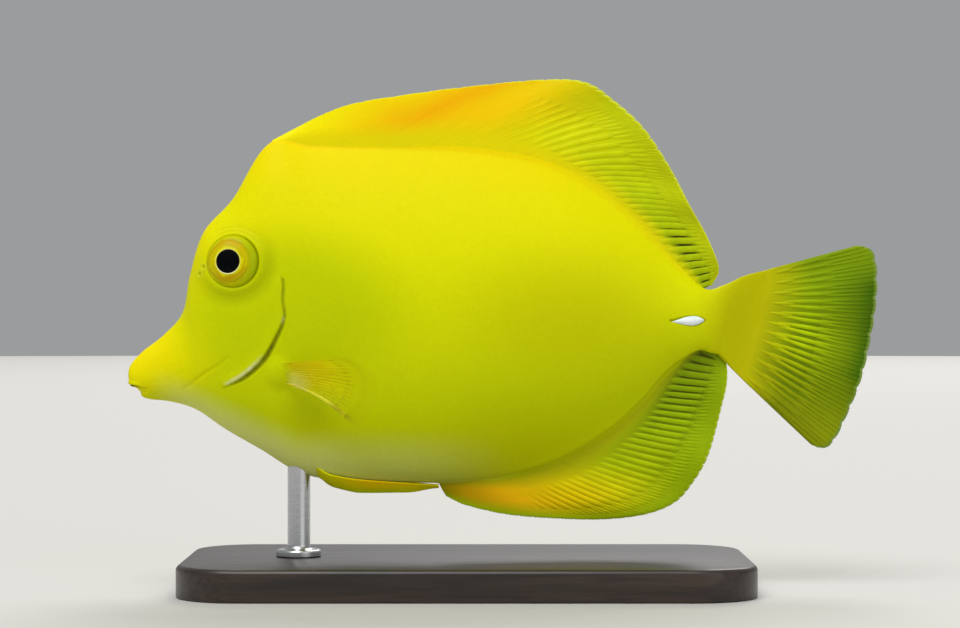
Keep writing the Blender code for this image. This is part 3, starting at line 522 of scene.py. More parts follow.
def skin_material():
    """Pigmented fish skin under clear satin varnish: lemon above and olive low on the flank, partly its own tone and
    partly painted shade, with a greyish belly.
    """
    material, tree, shader = new_material("satin_fish_skin", Roughness=0.5, IOR=1.40, Coat_Weight=0.01)
    shader.inputs["Coat Roughness"].default_value = 0.3
    shader.inputs["Specular IOR Level"].default_value = 0.06
    shader.inputs["Subsurface Weight"].default_value = 0.12
    shader.inputs["Subsurface Radius"].default_value = (1.0, 0.75, 0.10)
    shader.inputs["Subsurface Scale"].default_value = 0.0018
    where = add(tree, "ShaderNodeTexCoord").outputs["Object"]
    place = add(tree, "ShaderNodeSeparateXYZ", {0: where}).outputs
    height = total(tree, place["Z"], product(tree, noise(tree, where, 38.0), 0.012))
    # The flank's colour by height: partly the skin's own tone and partly painted shade, darker and more olive low down,
    # where less light falls from above.
    flank_tone_and_shade_stops = (
        (0.00, "#CCD210"),
        (0.10, "#CCD400"),
        (0.22, "#CCD900"),
        (0.50, "#DCE200"),
        (0.78, "#E8E200"),
        (0.95, "#F2DE00"),
    )
    painted = ramp(tree, between(tree, height, 0.029, 0.108), flank_tone_and_shade_stops)
    snout = product(tree, between(tree, place["X"], -0.060, -0.080), between(tree, place["Z"], 0.041, 0.052, 1.0, 0.25))
    painted = mix_colour(tree, snout, painted, "#F6E000")
    # Each patch is laid over the one before it: tones of the skin, then painted shade in creases, hollows and the gill
    # slit and under the pectoral fin, then pale marks.
    broken = between(tree, noise(tree, where, 1800.0), 0.40, 0.60, 1.1, 0.3)
    for patch, strength, code in (
        ("deep", 0.85, "#C2D000"),
        ("stalk", 1.0, "#C0BE00"),
        ("throat", 0.80, "#E4EA8E"),
        ("gold", 0.60, "#F2B400"),
        ("shade", 1.0, "#5A5C00"),
        # Painted shade in the gill slit, broken into specks.
        ("slit", between(tree, noise(tree, where, 1500.0), 0.35, 0.65, 1.0, 0.72), "#5E5A12"),
        ("pale", broken, "#E4E6A8"),
    ):
        painted = mix_colour(tree, product(tree, mark(tree, patch), strength), painted, code)
    speckle = between(tree, noise(tree, where, 900.0), 0.0, 1.0, 1.03, 0.96)
    painted = mix_colour(tree, 1.0, painted, speckle, "MULTIPLY")
    tree.links.new(painted, shader.inputs["Base Color"])
    # Scales are 0.35 mm apart and too fine to show: they are drawn as coarse as 0.7 mm.
    scales = add(tree, "ShaderNodeTexVoronoi", {"Vector": where, "Scale": 1400.0}).outputs["Distance"]
    raise_bump(tree, shader, scales, 0.15, 0.0002)
    return material


skin.data.materials.append(skin_material())
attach(skin, "root")
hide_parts("head", "lower_jaw", "gill_cover_left", "gill_cover_right", "torso", "tail_stalk")



# The eyes.
# A tang's eye is a clear dome over a golden iris, which holds a wide black pupil inside a thin bright ring.
# Each is turned as one glossy dome that sits deep in its orbit, with the iris's rings raised a little on it.
EYE_FRONT_DEPTH = 2.6
EYE_BACK_DEPTH = 4.6
EYE_SINK = 1.2
PUPIL_RADIUS = 2.62
PUPIL_SHIFT = -0.92  # the pupil looks forwards of the eye's middle
IRIS_RADIUS = 4.70
EYE_SEGMENTS = 96
# Distance from the pupil's middle and how far the dome's face is raised there.
EYE_RELIEF = (
    (0.00, 0.10),
    (2.50, 0.10),
    (2.62, 0.04),
    (2.80, 0.12),
    (3.10, 0.06),
    (3.60, 0.03),
    (4.30, 0.02),
    (4.52, -0.05),
    (4.80, 0.04),
    (5.50, 0.04),
    (6.00, -0.05),
)


def eye(name, side):
    """A dome turned round the eye's axis, with a deep back that stays in the orbit."""
    place, normal = on_flank(*EYE_PLACE)
    axis = (normal + Vector((0, -1, 0))).normalized()
    centre = place - axis * EYE_SINK
    across = Vector((0, 0, 1)).cross(axis).normalized() * -1
    if across.x < 0:
        across.negate()
    upright = axis.cross(across).normalized()
    if upright.z < 0:
        upright.negate()
    rings = np.concatenate((np.linspace(0.0, 2.4, 7)[1:], np.linspace(2.45, EYE_RADIUS - 0.01, 44)))
    turns = np.arange(EYE_SEGMENTS) * 2 * math.pi / EYE_SEGMENTS
    front, marks, angles = [np.array((PUPIL_SHIFT, 0.0))], [0.0], [0.0]
    for q in rings:
        shift = PUPIL_SHIFT * (1 - ease(IRIS_RADIUS - 0.2, EYE_RADIUS - 0.01, q))
        front += [np.array((shift + q * math.cos(t), q * math.sin(t))) for t in turns]
        marks += [q] * EYE_SEGMENTS
        angles += list(turns)
    front = np.array(front)
    marks = np.array(marks)
    away = np.clip(np.hypot(front[:, 0], front[:, 1]) / EYE_RADIUS, 0, 0.9995)
    heights = EYE_FRONT_DEPTH * np.sqrt(1 - away**2) + table_value(EYE_RELIEF, marks)
    points = [centre + across * a + upright * b + axis * h for (a, b), h in zip(front, heights)]
    for depth in (0.25, 0.6, 0.85, 0.97):
        reach = EYE_RADIUS * math.sqrt(1 - depth**2)
        points += [centre + (across * math.cos(t) + upright * math.sin(t)) * reach - axis * EYE_BACK_DEPTH * depth for t in turns]
        marks = np.append(marks, [EYE_RADIUS + 0.1] * EYE_SEGMENTS)
        angles += list(turns)
    points.append(centre - axis * EYE_BACK_DEPTH)
    marks = np.append(marks, EYE_RADIUS + 0.1)
    angles.append(0.0)
    rows = len(rings) + 4
    faces = [(0, 1 + j, 1 + (j + 1) % EYE_SEGMENTS) for j in range(EYE_SEGMENTS)]
    for i in range(rows - 1):
        a, b = 1 + i * EYE_SEGMENTS, 1 + (i + 1) * EYE_SEGMENTS
        for j in range(EYE_SEGMENTS):
            k = (j + 1) % EYE_SEGMENTS
            faces.append((a + j, b + j, b + k, a + k))
    last = 1 + (rows - 1) * EYE_SEGMENTS
    faces += [(last + (j + 1) % EYE_SEGMENTS, last + j, len(points) - 1) for j in range(EYE_SEGMENTS)]
    mesh = bpy.data.meshes.new(name)
    mesh.from_pydata([Vector((p.x, p.y * -side, p.z)) * MM for p in points], [], faces)
    face_outwards(mesh)
    mesh.shade_smooth()
    store(mesh, "ring", marks)
    store(mesh, "rear", np.cos(angles))
    store(mesh, "above", np.sin(angles))
    return new_piece(name, mesh)


def face_outwards(mesh):
    shape = bmesh.new()
    shape.from_mesh(mesh)
    bmesh.ops.recalc_face_normals(shape, faces=shape.faces)
    if shape.calc_volume(signed=True) < 0:
        bmesh.ops.reverse_faces(shape, faces=shape.faces)
    shape.to_mesh(mesh)
    shape.free()


def eye_material():
    """Clear varnish over a painted iris: wet gloss, gold rings with rust and green in them, a black pupil."""
    material, tree, shader = new_material("varnished_golden_iris", Roughness=0.45, IOR=1.40, Coat_Weight=0.14)
    shader.inputs["Coat Roughness"].default_value = 0.10
    shader.inputs["Coat IOR"].default_value = 1.33
    shader.inputs["Specular IOR Level"].default_value = 0.05
    where = add(tree, "ShaderNodeTexCoord").outputs["Object"]
    ring, rear, above = (mark(tree, name) for name in ("ring", "rear", "above"))
    # The rings of the iris, in millimetres from the pupil's middle, wander a little.
    wander = between(tree, noise(tree, where, 520.0), 0.25, 0.75, 0.40, -0.40)
    placed = total(tree, ring, wander)
    ring_stops = (
        (2.80, "#E0D800"),
        (3.10, "#D8CE00"),
        (3.40, "#BEB200"),
        (3.80, "#CEC400"),
        (4.20, "#C2B600"),
        (4.50, "#BAAE00"),
        (4.70, "#B0A800"),
        (4.90, "#C8C600"),
        (5.60, "#C6C800"),
    )
    iris = ramp(tree, product(tree, placed, 1 / EYE_RADIUS), [(r / EYE_RADIUS, code) for r, code in ring_stops])
    band = product(tree, between(tree, placed, 3.4, 3.9), between(tree, placed, 4.8, 4.5))
    iris = mix_colour(tree, product(tree, band, between(tree, above, 0.1, 0.9, 0.55)), iris, "#D2A200")
    lower_band = product(tree, between(tree, placed, 3.1, 3.5), between(tree, placed, 4.3, 3.9))
    lower_band = product(tree, lower_band, between(tree, above, -0.55, -0.95, 0.42))
    iris = mix_colour(tree, lower_band, iris, "#BC6A00")
    beside = product(tree, between(tree, placed, 2.9, 3.3), between(tree, placed, 4.4, 4.0))
    beside = product(tree, beside, between(tree, above, -0.20, -0.45), between(tree, rear, 0.45, 0.80, 0.45))
    iris = mix_colour(tree, beside, iris, "#C88A00")
    # The iris turns green towards the gill cover.
    green = product(tree, between(tree, ring, 4.3, 5.0), between(tree, rear, 0.1, 0.9, 0.7))
    iris = mix_colour(tree, green, iris, "#A4B800")
    # A thin line of painted shade where the eye meets its orbit, darkest below.
    edge = product(tree, between(tree, ring, 5.74, 5.92), between(tree, above, 0.3, -0.6, 0.65, 0.12))
    iris = mix_colour(tree, edge, iris, "#4C5000")
    # A thin bright ring round the pupil, partly a pale rim of its own and partly a painted glint, whitest below it.
    rim_and_glint = product(tree, between(tree, ring, 2.60, 2.64), between(tree, ring, 2.90, 2.74))
    iris = mix_colour(tree, product(tree, rim_and_glint, between(tree, above, -0.2, -0.9, 0.9, 0.25)), iris, "#F0EEC0")
    iris = mix_colour(tree, between(tree, ring, 2.64, 2.60), iris, "#010204")
    tree.links.new(iris, shader.inputs["Base Color"])
    return material


iris_paint = eye_material()
for side, label in ((-1, "left"), (1, "right")):
    made = eye("eyeball_" + label, side)
    made.data.materials.append(iris_paint)
    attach(made, "root")
    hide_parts("eye_" + label)


# The dorsal, anal and tail fins.
# Each is a thin skin stretched over bony rays that fork towards the edge. The skins are cast as closed shells
# on the same guide lines as the solids, and the rays are swept through them as raised, forked ribs.
# Each row: share of the fin's root, station of the body, and the ray tip's x and z.
DORSAL_GUIDES = (
    (0.000, 8.00, -50.9, 98.6),
    (0.053, 8.59, -35.8, 105.8),
    (0.100, 9.07, -21.9, 108.5),
    (0.153, 9.49, -5.2, 110.7),
    (0.200, 9.85, 8.0, 111.9),
    (0.280, 10.31, 17.9, 111.4),
    (0.372, 10.86, 24.5, 107.4),
    (0.465, 11.45, 31.1, 101.2),
    (0.557, 12.04, 37.1, 92.2),
    (0.689, 13.09, 41.0, 84.5),
    (0.806, 14.00, 44.3, 78.8),
    (0.900, 14.90, 47.0, 72.6),
    (0.956, 15.45, 47.6, 69.6),
    (1.000, 15.92, 46.1, 66.8),
)
ANAL_GUIDES = (
    (0.000, 9.66, -12.6, 20.2),
    (0.040, 9.87, -8.5, 18.3),
    (0.100, 10.13, 0.3, 16.3),
    (0.190, 10.51, 11.6, 15.3),
    (0.280, 10.94, 22.3, 15.1),
    (0.370, 11.40, 31.8, 16.3),
    (0.455, 11.86, 38.2, 18.9),
    (0.540, 12.33, 42.1, 23.3),
    (0.620, 12.76, 45.0, 28.4),
    (0.720, 13.41, 47.0, 34.5),
    (0.805, 14.00, 48.3, 40.0),
    (0.895, 14.71, 49.4, 45.1),
    (0.965, 15.55, 49.3, 49.2),
    (1.000, 16.40, 47.9, 51.2),
)
DORSAL_RAYS = 43
ANAL_RAYS = 40
TAIL_RAYS = 12
ROOT_DEPTH = 1.2  # how deep a fin's root sits in the body
BACK_FORKS = (0.0, 0.72, 0.88, 1.0)  # shares of a ray's length between which it is one, two and four strands
TAIL_FORKS = (0.0, 0.40, 0.68, 1.0)
RIB_FILL = 0.95  # share of the spacing that a ray takes up at its root
RAY_START = 0.04
RIB_MOST = 0.95  # half the width of the widest ray
STRAND_SIZE = (1.0, 0.60, 0.40)  # of a strand after each fork, as a share of the ray's own
STRAND_START = (0.0, 0.17, 0.09)  # how far from its parent's middle a strand starts, as a share of the spacing
RIB_FLATNESS = 0.40
RIB_SIDES = 8
RIB_POINTS = 22  # along a whole ray

FAN_X = 34.0
FAN_Z = 63.6
FAN_PITCH = math.radians(-14.2)
FAN_HALF_ANGLE = math.radians(29.2)
FAN_ROOT = 17.3
FAN_RADIUS = 48.4
FAN_LOBE = 2.4
FAN_LOWER_EXTRA = 0.5
FAN_CORNER = 4.0
FAN_CORNER_POWER = 18


def median_fin(guides, is_back, bow, ripple, waves):
    """The middle surface of a dorsal or anal fin, as a function of its shares along the root and to the tip."""

    def surface(u, v):
        row = smooth([r[0] for r in guides], [r[1:] for r in guides], u)
        root = outline(row[:, 0], is_back, -ROOT_DEPTH * np.ones(len(u)))
        away = outline(row[:, 0], is_back, 1.0) - outline(row[:, 0], is_back, 0.0)
        reach = row[:, 1:] - root
        length = np.linalg.norm(reach, axis=1)
        place = root + reach * v[:, None] + away * (bow * length * 4 * v * (1 - v))[:, None]
        swing = ripple * ease(0.05, 1.0, v) * np.sin(2 * math.pi * waves * u + 2.0 * v)
        return np.stack((place[:, 0], swing, place[:, 1]), axis=1)

    return surface


def tail_surface(u, v):
    turn = FAN_HALF_ANGLE * (1 - 2 * u)
    share = np.abs(turn) / FAN_HALF_ANGLE
    inner = (FAN_ROOT - ROOT_DEPTH) / np.cos(turn)
    outer = FAN_RADIUS + FAN_LOBE * share**2 - FAN_CORNER * share**FAN_CORNER_POWER
    outer -= FAN_LOWER_EXTRA * turn / FAN_HALF_ANGLE
    radius = inner + (outer - inner) * v
    angle = FAN_PITCH + turn * (0.985 + 0.015 * ease(0.0, 0.3, v))
    swing = 0.55 * ease(0.15, 1.0, v) * np.sin(2 * math.pi * 2.6 * u + 0.8)
    return np.stack((FAN_X + radius * np.cos(angle), swing, FAN_Z + radius * np.sin(angle)), axis=1)


def sheet_normals(surface, u, v):
    step = 0.004
    along = surface(np.clip(u + step, 0, 1), v) - surface(np.clip(u - step, 0, 1), v)
    out = surface(u, np.clip(v + step, 0, 1)) - surface(u, np.clip(v - step, 0, 1))
    found = np.cross(along, out)
    found /= np.maximum(np.linalg.norm(found, axis=1), 1e-9)[:, None]
    return found


def fin_skin(name, surface, rays, half, notch, rows=30, columns_for_ray=6):
    """A closed thin shell on both faces of a surface. Its edge stands back between the rays by the notch."""
    count = rays * columns_for_ray
    u, v = np.meshgrid(np.linspace(0, 1, count + 1), np.linspace(0, 1, rows + 1), indexing="ij")
    u, v = u.ravel(), v.ravel()
    saw = 0.75 * np.sin(math.pi * u * rays) ** 2 + 0.25 * np.sin(2 * math.pi * u * rays) ** 2
    saw = 1 - saw
    reach = v * (1 - notch * saw * v**6)
    middle = surface(u, reach)
    away = sheet_normals(surface, u, reach) * half(u, reach)[:, None]
    points = np.vstack((middle + away, middle - away))
    size, width = len(u), rows + 1
    faces = []
    for i in range(count):
        for j in range(rows):
            a, b = i * width + j, (i + 1) * width + j
            faces.append((a, b, b + 1, a + 1))
            faces.append((size + a, size + a + 1, size + b + 1, size + b))
    ring = [i * width for i in range(count)] + [count * width + j for j in range(rows)]
    ring += [i * width + rows for i in range(count, 0, -1)] + [j for j in range(rows, 0, -1)]
    faces += [(a, a + size, b + size, b) for a, b in zip(ring, ring[1:] + ring[:1])]
    mesh = bpy.data.meshes.new(name)
    mesh.from_pydata([Vector(p) * MM for p in sway(points)], [], faces)
    face_outwards(mesh)
    mesh.shade_smooth()
    store(mesh, "along", np.tile(u, 2))
    store(mesh, "out", np.tile(v, 2))
    store(mesh, "rib", np.zeros(2 * size))
    return new_piece(name, mesh)


def ray_lines(name, surface, rays, strength=None, forks=TAIL_FORKS):
    """Edges that follow every strand of every forked ray, with the size and direction of the rib there."""
    step = 1 / rays
    starts, verts, edges, facts = 0, [], [], []
    for ray in range(rays):
        middle = (ray + 0.5) * step
        for level in range(len(forks) - 1):
            low, high = forks[level], forks[level + 1]
            first, last = max(low - 0.05, RAY_START), min(high + 0.05, 0.995)
            count = max(5, round(RIB_POINTS * (last - first)))
            for strand in range(2**level):
                v = np.linspace(first, last, count)
                own = ((strand + 0.5) / 2**level - 0.5) * step * 0.94
                inner = ((strand // 2 + 0.5) / 2 ** (level - 1) - 0.5) * step * 0.94 if level > 1 else 0.0
                near = inner + STRAND_START[level] * step * (1 if strand % 2 else -1) if level else 0.0
                parted = ease(0, 1, (v - first) / (0.6 * (high - first)))
                u = np.clip(middle + near + (own - near) * parted, 0.002, 0.998)
                points = surface(u, v)
                sides = np.full(count, middle - step / 2), np.full(count, middle + step / 2)
                here, root = (
                    np.linalg.norm(surface(sides[1], at) - surface(sides[0], at), axis=1)
                    for at in (v, np.full(count, 0.15))
                )
                size = np.minimum(0.5 * RIB_FILL * np.sqrt(here * root), RIB_MOST)
                size = size * STRAND_SIZE[level] * (1 - 0.15 * v)
                if level == 0:
                    size *= 0.3 + 0.7 * ease(first, first + 0.12, v)
                size *= 1 - 0.8 * ease(high - 0.04, last, v) * (1 if level < 2 else 0.6)
                if strength is not None:
                    size = size * strength(u, v)
                verts.append(points)
                facts.append(np.column_stack((size, u, v, sheet_normals(surface, u, v))))
                edges += [(starts + i, starts + i + 1) for i in range(count - 1)]
                starts += count
    points, facts = sway(np.vstack(verts)), np.vstack(facts)
    mesh = bpy.data.meshes.new(name)
    mesh.from_pydata([Vector(p) * MM for p in points], edges, [])
    store(mesh, "size", facts[:, 0] * MM)
    store(mesh, "along", facts[:, 1])
    store(mesh, "out", facts[:, 2])
    store(mesh, "rib", np.ones(len(points)))
    layer = mesh.attributes.new("away", "FLOAT_VECTOR", "POINT")
    layer.data.foreach_set("vector", facts[:, 3:].astype(np.float32).ravel())
    return new_piece(name, mesh)


def rib_tree():
    """Geometry Nodes that sweep a flattened round rib along every line, as thick as the line's own size."""
    tree = bpy.data.node_groups.new("swept_ribs", "GeometryNodeTree")
    tree.interface.new_socket("Lines", in_out="INPUT", socket_type="NodeSocketGeometry")
    sides = tree.interface.new_socket("Sides", in_out="INPUT", socket_type="NodeSocketInt")
    sides.default_value = RIB_SIDES
    flatness = tree.interface.new_socket("Flatness", in_out="INPUT", socket_type="NodeSocketFloat")
    flatness.default_value = RIB_FLATNESS
    tree.interface.new_socket("Finish", in_out="INPUT", socket_type="NodeSocketMaterial")
    tree.interface.new_socket("Ribs", in_out="OUTPUT", socket_type="NodeSocketGeometry")
    given = add(tree, "NodeGroupInput")
    size = add(tree, "GeometryNodeInputNamedAttribute", {"Name": "size"}, data_type="FLOAT")
    away = add(tree, "GeometryNodeInputNamedAttribute", {"Name": "away"}, data_type="FLOAT_VECTOR")
    lines = add(tree, "GeometryNodeMeshToCurve", {"Mesh": given.outputs["Lines"]})
    turned = add(tree, "GeometryNodeSetCurveNormal", {"Curve": lines.outputs["Curve"]}, mode="FREE")
    tree.links.new(away.outputs["Attribute"], turned.inputs["Normal"])
    circle = add(tree, "GeometryNodeCurvePrimitiveCircle", {"Resolution": given.outputs["Sides"], "Radius": 1.0})
    shape = add(tree, "ShaderNodeCombineXYZ", {"X": given.outputs["Flatness"], "Y": 1.0, "Z": 1.0})
    flat = add(tree, "GeometryNodeTransform", {"Geometry": circle.outputs["Curve"], "Scale": shape.outputs[0]})
    swept = add(tree, "GeometryNodeCurveToMesh", {"Curve": turned.outputs[0], "Profile Curve": flat.outputs[0]})
    tree.links.new(size.outputs["Attribute"], swept.inputs["Scale"])
    swept.inputs["Fill Caps"].default_value = True
    smooth_ribs = add(tree, "GeometryNodeSetShadeSmooth", {0: swept.outputs[0]})
    real = add(tree, "GeometryNodeRealizeInstances", {0: smooth_ribs.outputs[0]})
    finish = add(tree, "GeometryNodeSetMaterial", {"Geometry": real.outputs[0], "Material": given.outputs["Finish"]})
    add(tree, "NodeGroupOutput", {"Ribs": finish.outputs[0]})
    return tree


RIB_TREE = rib_tree()


def swept_ribs(lines, finish, flatness=RIB_FLATNESS):
    """Runs the rib tree on a set of lines and keeps the result as a plain mesh."""
    modifier = lines.modifiers.new("ribs", "NODES")
    modifier.node_group = RIB_TREE
    for socket in RIB_TREE.interface.items_tree:
        if socket.name == "Flatness":
            modifier[socket.identifier] = flatness
        elif socket.name == "Finish":
            modifier[socket.identifier] = finish
    bpy.context.view_layer.update()
    evaluated = lines.evaluated_get(bpy.context.evaluated_depsgraph_get())
    mesh = bpy.data.meshes.new_from_object(evaluated)
    lines.modifiers.remove(modifier)
    lines.data = mesh
    if not mesh.materials:
        mesh.materials.append(finish)
    return lines


def fin_material(name, inner, stops, outer, rim, slit=None, root=(0.10, 0.45), ray_root=None, lobes=(-1.0, 0.0, 2.0, 3.0)):
    """Thin satin fin skin: colours along the fin, a tone at its root and rim, and painted shade in the folds between
    the rays.
    """
    material, tree, shader = new_material(name, Roughness=0.5, IOR=1.40, Coat_Weight=0.02)
    shader.inputs["Coat Roughness"].default_value = 0.3
    shader.inputs["Specular IOR Level"].default_value = 0.10
    shader.inputs["Subsurface Weight"].default_value = 0.10
    shader.inputs["Subsurface Radius"].default_value = (1.0, 0.8, 0.1)
    shader.inputs["Subsurface Scale"].default_value = 0.0008
    where = add(tree, "ShaderNodeTexCoord").outputs["Object"]
    along, out, rib = (mark(tree, name) for name in ("along", "out", "rib"))
    wander = between(tree, noise(tree, where, 90.0), 0.3, 0.7, 0.012, -0.012)
    colour = ramp(tree, total(tree, along, wander), stops)
    colour = mix_colour(tree, between(tree, out, *root), inner, colour)
    first, full, fading, last = lobes
    middle = product(tree, between(tree, along, first, full), between(tree, along, last, fading))
    colour = mix_colour(tree, product(tree, between(tree, out, 0.55, 0.98), middle), colour, outer)
    # Painted shade in the folds between the rays: dark on the skin but not on the ribs, within a span along and across
    # the fin.
    if slit:
        code, across, outwards = slit
        dark = between(tree, rib, 1.0, 0.0)
        for value, (start, full, fading, end) in ((along, across), (out, outwards)):
            dark = product(tree, dark, between(tree, value, start, full), between(tree, value, end, fading))
        colour = mix_colour(tree, dark, colour, code)
    if ray_root:
        based = product(tree, rib, between(tree, out, 0.36, 0.14), between(tree, along, 0.25, 0.65))
        colour = mix_colour(tree, based, colour, ray_root)
    # Fine streaks run out along the strands.
    strands = add(tree, "ShaderNodeCombineXYZ", {"X": along, "Y": out}).outputs[0]
    stretched = add(tree, "ShaderNodeMapping", {"Vector": strands, "Scale": (260.0, 5.0, 1.0)}).outputs[0]
    tone = between(tree, noise(tree, stretched, 1.0, 2.0), 0.3, 0.7, 1.06, 0.92)
    colour = mix_colour(tree, between(tree, along, 0.10, 0.45, 1.0, 0.3), colour, tone, "MULTIPLY")
    colour = mix_colour(tree, between(tree, out, 0.975, 0.99), colour, rim)
    tree.links.new(colour, shader.inputs["Base Color"])
    # Joints in the bony strands, drawn 0.5 mm apart.
    raise_bump(tree, shader, noise(tree, where, 2200.0, 2.0), 0.10, 0.0002)
    return material


def even_half(root, tip, power=1.0):
    """Half the thickness of a fin's skin that thins evenly towards its rim."""
    return lambda u, v: root + (tip - root) * v**power


def median_half(root, tip, smooth_until):
    """Half the thickness of a median fin's skin, thicker over the spines in front."""

    def half(u, v):
        return root + (tip - root) * v + 0.22 * (1 - v) * (1 - ease(smooth_until * 0.5, smooth_until, u))

    return half


dorsal_paint = fin_material(
    "dorsal_fin_skin",
    "#EADC00",
    (
        (0.00, "#FAEE00"),
        (0.05, "#FEEE00"),
        (0.11, "#FFDC00"),
        (0.165, "#FFBC00"),
        (0.205, "#FED000"),
        (0.27, "#FCD200"),
        (0.42, "#DEE000"),
        (0.66, "#C0D000"),
        (1.00, "#A2BA00"),
    ),
    "#C0CA00",
    "#DCE430",
    slit=("#3E4200", (0.60, 0.80, 1.1, 1.2), (0.30, 0.46, 0.62, 0.82)),
    root=(0.16, 0.40),
    lobes=(0.15, 0.40, 2.0, 3.0),
)
anal_paint = fin_material(
    "anal_fin_skin",
    "#A8A800",
    (
        (0.00, "#A69C00"),
        (0.08, "#D0A600"),
        (0.18, "#F0BA00"),
        (0.34, "#F4DA00"),
        (0.54, "#BED200"),
        (0.78, "#9ABA00"),
        # Darkest at the rear, where painted shadow from the tail stalk falls on the fin.
        (1.00, "#6E8600"),
    ),
    "#96B400",
    "#B4CC20",
    slit=("#4A5200", (0.40, 0.86, 1.1, 1.2), (0.18, 0.34, 0.62, 0.86)),
    root=(0.10, 0.30),
)
tail_paint = fin_material(
    "tail_fin_skin",
    "#C2BF00",
    ((0.0, "#809C00"), (0.25, "#98B600"), (0.50, "#BCD400"), (0.75, "#9CAC00"), (1.0, "#7E8800")),
    "#386400",
    "#7E9C40",
    slit=("#6E8400", (0.10, 0.45, 0.84, 0.95), (0.22, 0.50, 0.66, 0.92)),
    root=(0.24, 0.54),
    lobes=(0.02, 0.20, 0.62, 0.92),
)


def front_smooth(low, high, least):
    """How strongly the rays stand out: hardly in front, where thick skin covers the spines, and fully behind."""

    def strength(u, v):
        return (least + (1 - least) * ease(low, high, u)) * ease(0.05, 0.30, v)

    return strength


def tail_strength(u, v):
    """The tail's rays rise out of the stalk's skin and sink again towards the rim."""
    return ease(0.10, 0.58, v) ** 0.8 * (1 - 0.35 * ease(0.65, 1.0, v))


for name, surface, rays, half, notch, habit, paint, slot_name in (
    (
        "dorsal_fin",
        median_fin(DORSAL_GUIDES, True, 0.05, 0.45, 5.0),
        DORSAL_RAYS,
        median_half(0.30, 0.07, 0.30),
        0.022,
        (front_smooth(0.10, 0.60, 0.35), BACK_FORKS, RIB_FLATNESS),
        dorsal_paint,
        "golden_fin",
    ),
    (
        "anal_fin",
        median_fin(ANAL_GUIDES, False, 0.03, 0.40, 4.0),
        ANAL_RAYS,
        median_half(0.30, 0.07, 0.24),
        0.018,
        (front_smooth(0.02, 0.45, 0.45), BACK_FORKS, RIB_FLATNESS),
        anal_paint,
        "golden_fin",
    ),
    (
        "tail_fin",
        tail_surface,
        TAIL_RAYS,
        even_half(0.50, 0.05, 0.4),
        0.014,
        (tail_strength, TAIL_FORKS, 0.80),
        tail_paint,
        "lime_fin",
    ),
):
    web = fin_skin(name + "_web", surface, rays, half, notch)
    web.data.materials.append(paint)
    ribs = swept_ribs(ray_lines(name + "_rays", surface, rays, *habit[:2]), paint, habit[2])
    for piece in (web, ribs):
        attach(piece, "root")
    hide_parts(name)


# The paired fins: pectorals on the flanks and pelvics under the belly.
# The pectoral is a clear amber fan on a fleshy stalk, with a strong pale ray along its lower edge, its brightness
# partly a painted highlight. The pelvic is a narrow fin folded back along the belly. Both are cast and ribbed as the
# other fins are.
PECTORAL_GUIDES = (
    (0.00, -32.3, 51.2, 13.0),
    (0.25, -27.5, 48.3, 17.0),
    (0.50, -26.4, 43.9, 17.5),
    (0.75, -28.0, 39.4, 15.0),
    (1.00, -31.5, 35.8, 11.0),
)
PECTORAL_RAYS = 15
PECTORAL_BOW = 2.4
PECTORAL_DROOP = 1.8
PELVIC_RAYS = 6
PELVIC_ROOT_STATION = 7.45
PELVIC_TIP_STATION = 9.70
PELVIC_LOW_ANGLE = math.radians(-90.0)
PELVIC_ROOT_ANGLE = math.radians(-69.0)
PELVIC_TIP_ANGLE = math.radians(-82.0)
PELVIC_GAP = 0.85
PELVIC_LIFT = 1.4
PELVIC_TIP_SHARE = 0.15  # of the fin's breadth that is left at its tip


def pectoral_surface():
    (x0, z0), (x1, z1) = PECTORAL_ROOT
    places = [on_flank(x0 + (x1 - x0) * t, z0 + (z1 - z0) * t)[0].y for t in (0.0, 0.5, 1.0)]

    def surface(u, v):
        flank = np.interp(u, (0.0, 0.5, 1.0), places)
        root = np.stack((x0 + (x1 - x0) * u - 1.0, flank + 0.3, z0 + (z1 - z0) * u), axis=1)
        row = smooth([r[0] for r in PECTORAL_GUIDES], [r[1:] for r in PECTORAL_GUIDES], u)
        tip = np.stack((row[:, 0], flank - row[:, 2], row[:, 1]), axis=1)
        arch = 4 * v * (1 - v)
        bow = np.stack((0 * u, -PECTORAL_BOW * arch, PECTORAL_DROOP * u**2 * arch), axis=1)
        flutter = 0.35 * ease(0.2, 1.0, v) * np.sin(2 * math.pi * 2.2 * u + 1.0)
        bow[:, 1] += flutter
        return root + (tip - root) * v[:, None] + bow

    return surface


def pelvic_surface(u, v):
    station = PELVIC_ROOT_STATION + (PELVIC_TIP_STATION - PELVIC_ROOT_STATION) * v
    top = PELVIC_ROOT_ANGLE + (PELVIC_TIP_ANGLE - PELVIC_ROOT_ANGLE) * v
    angle = PELVIC_LOW_ANGLE + (top - PELVIC_LOW_ANGLE) * u
    breadth = 1 - (1 - PELVIC_TIP_SHARE) * ease(0.72, 1.0, v)
    lift = -0.4 + (PELVIC_GAP + 0.4) * ease(0.0, 0.12, v)
    lift += PELVIC_LIFT * breadth * (1 - u) * np.minimum(1.0, 3 * v)
    return section_point(station, angle, lift)[0]


def mirrored(surface):
    return lambda u, v: surface(u, v) * (1, -1, 1)


def pectoral_strength(u, v):
    """The lowest rays lead the stroke and are the stoutest."""
    return 0.9 + 1.4 * ease(0.86, 1.0, u)


pectoral_paint = fin_material(
    "amber_fin_skin",
    "#E4D000",
    # The lowest rays are pale, partly their own colour and partly a painted highlight along the fin's lower edge.
    ((0.0, "#F4CC00"), (0.35, "#F6C800"), (0.70, "#F0DA00"), (0.86, "#EAE600"), (1.0, "#F4F240")),
    "#E2D400",
    "#E2D400",
    ray_root="#FAF68C",
)
pelvic_paint = fin_material(
    "pelvic_fin_skin",
    "#E2E000",
    ((0.0, "#D4EC00"), (0.30, "#DEEA00"), (0.60, "#F6DE00"), (1.0, "#FCCE00")),
    "#E8DC00",
    "#E8E400",
)


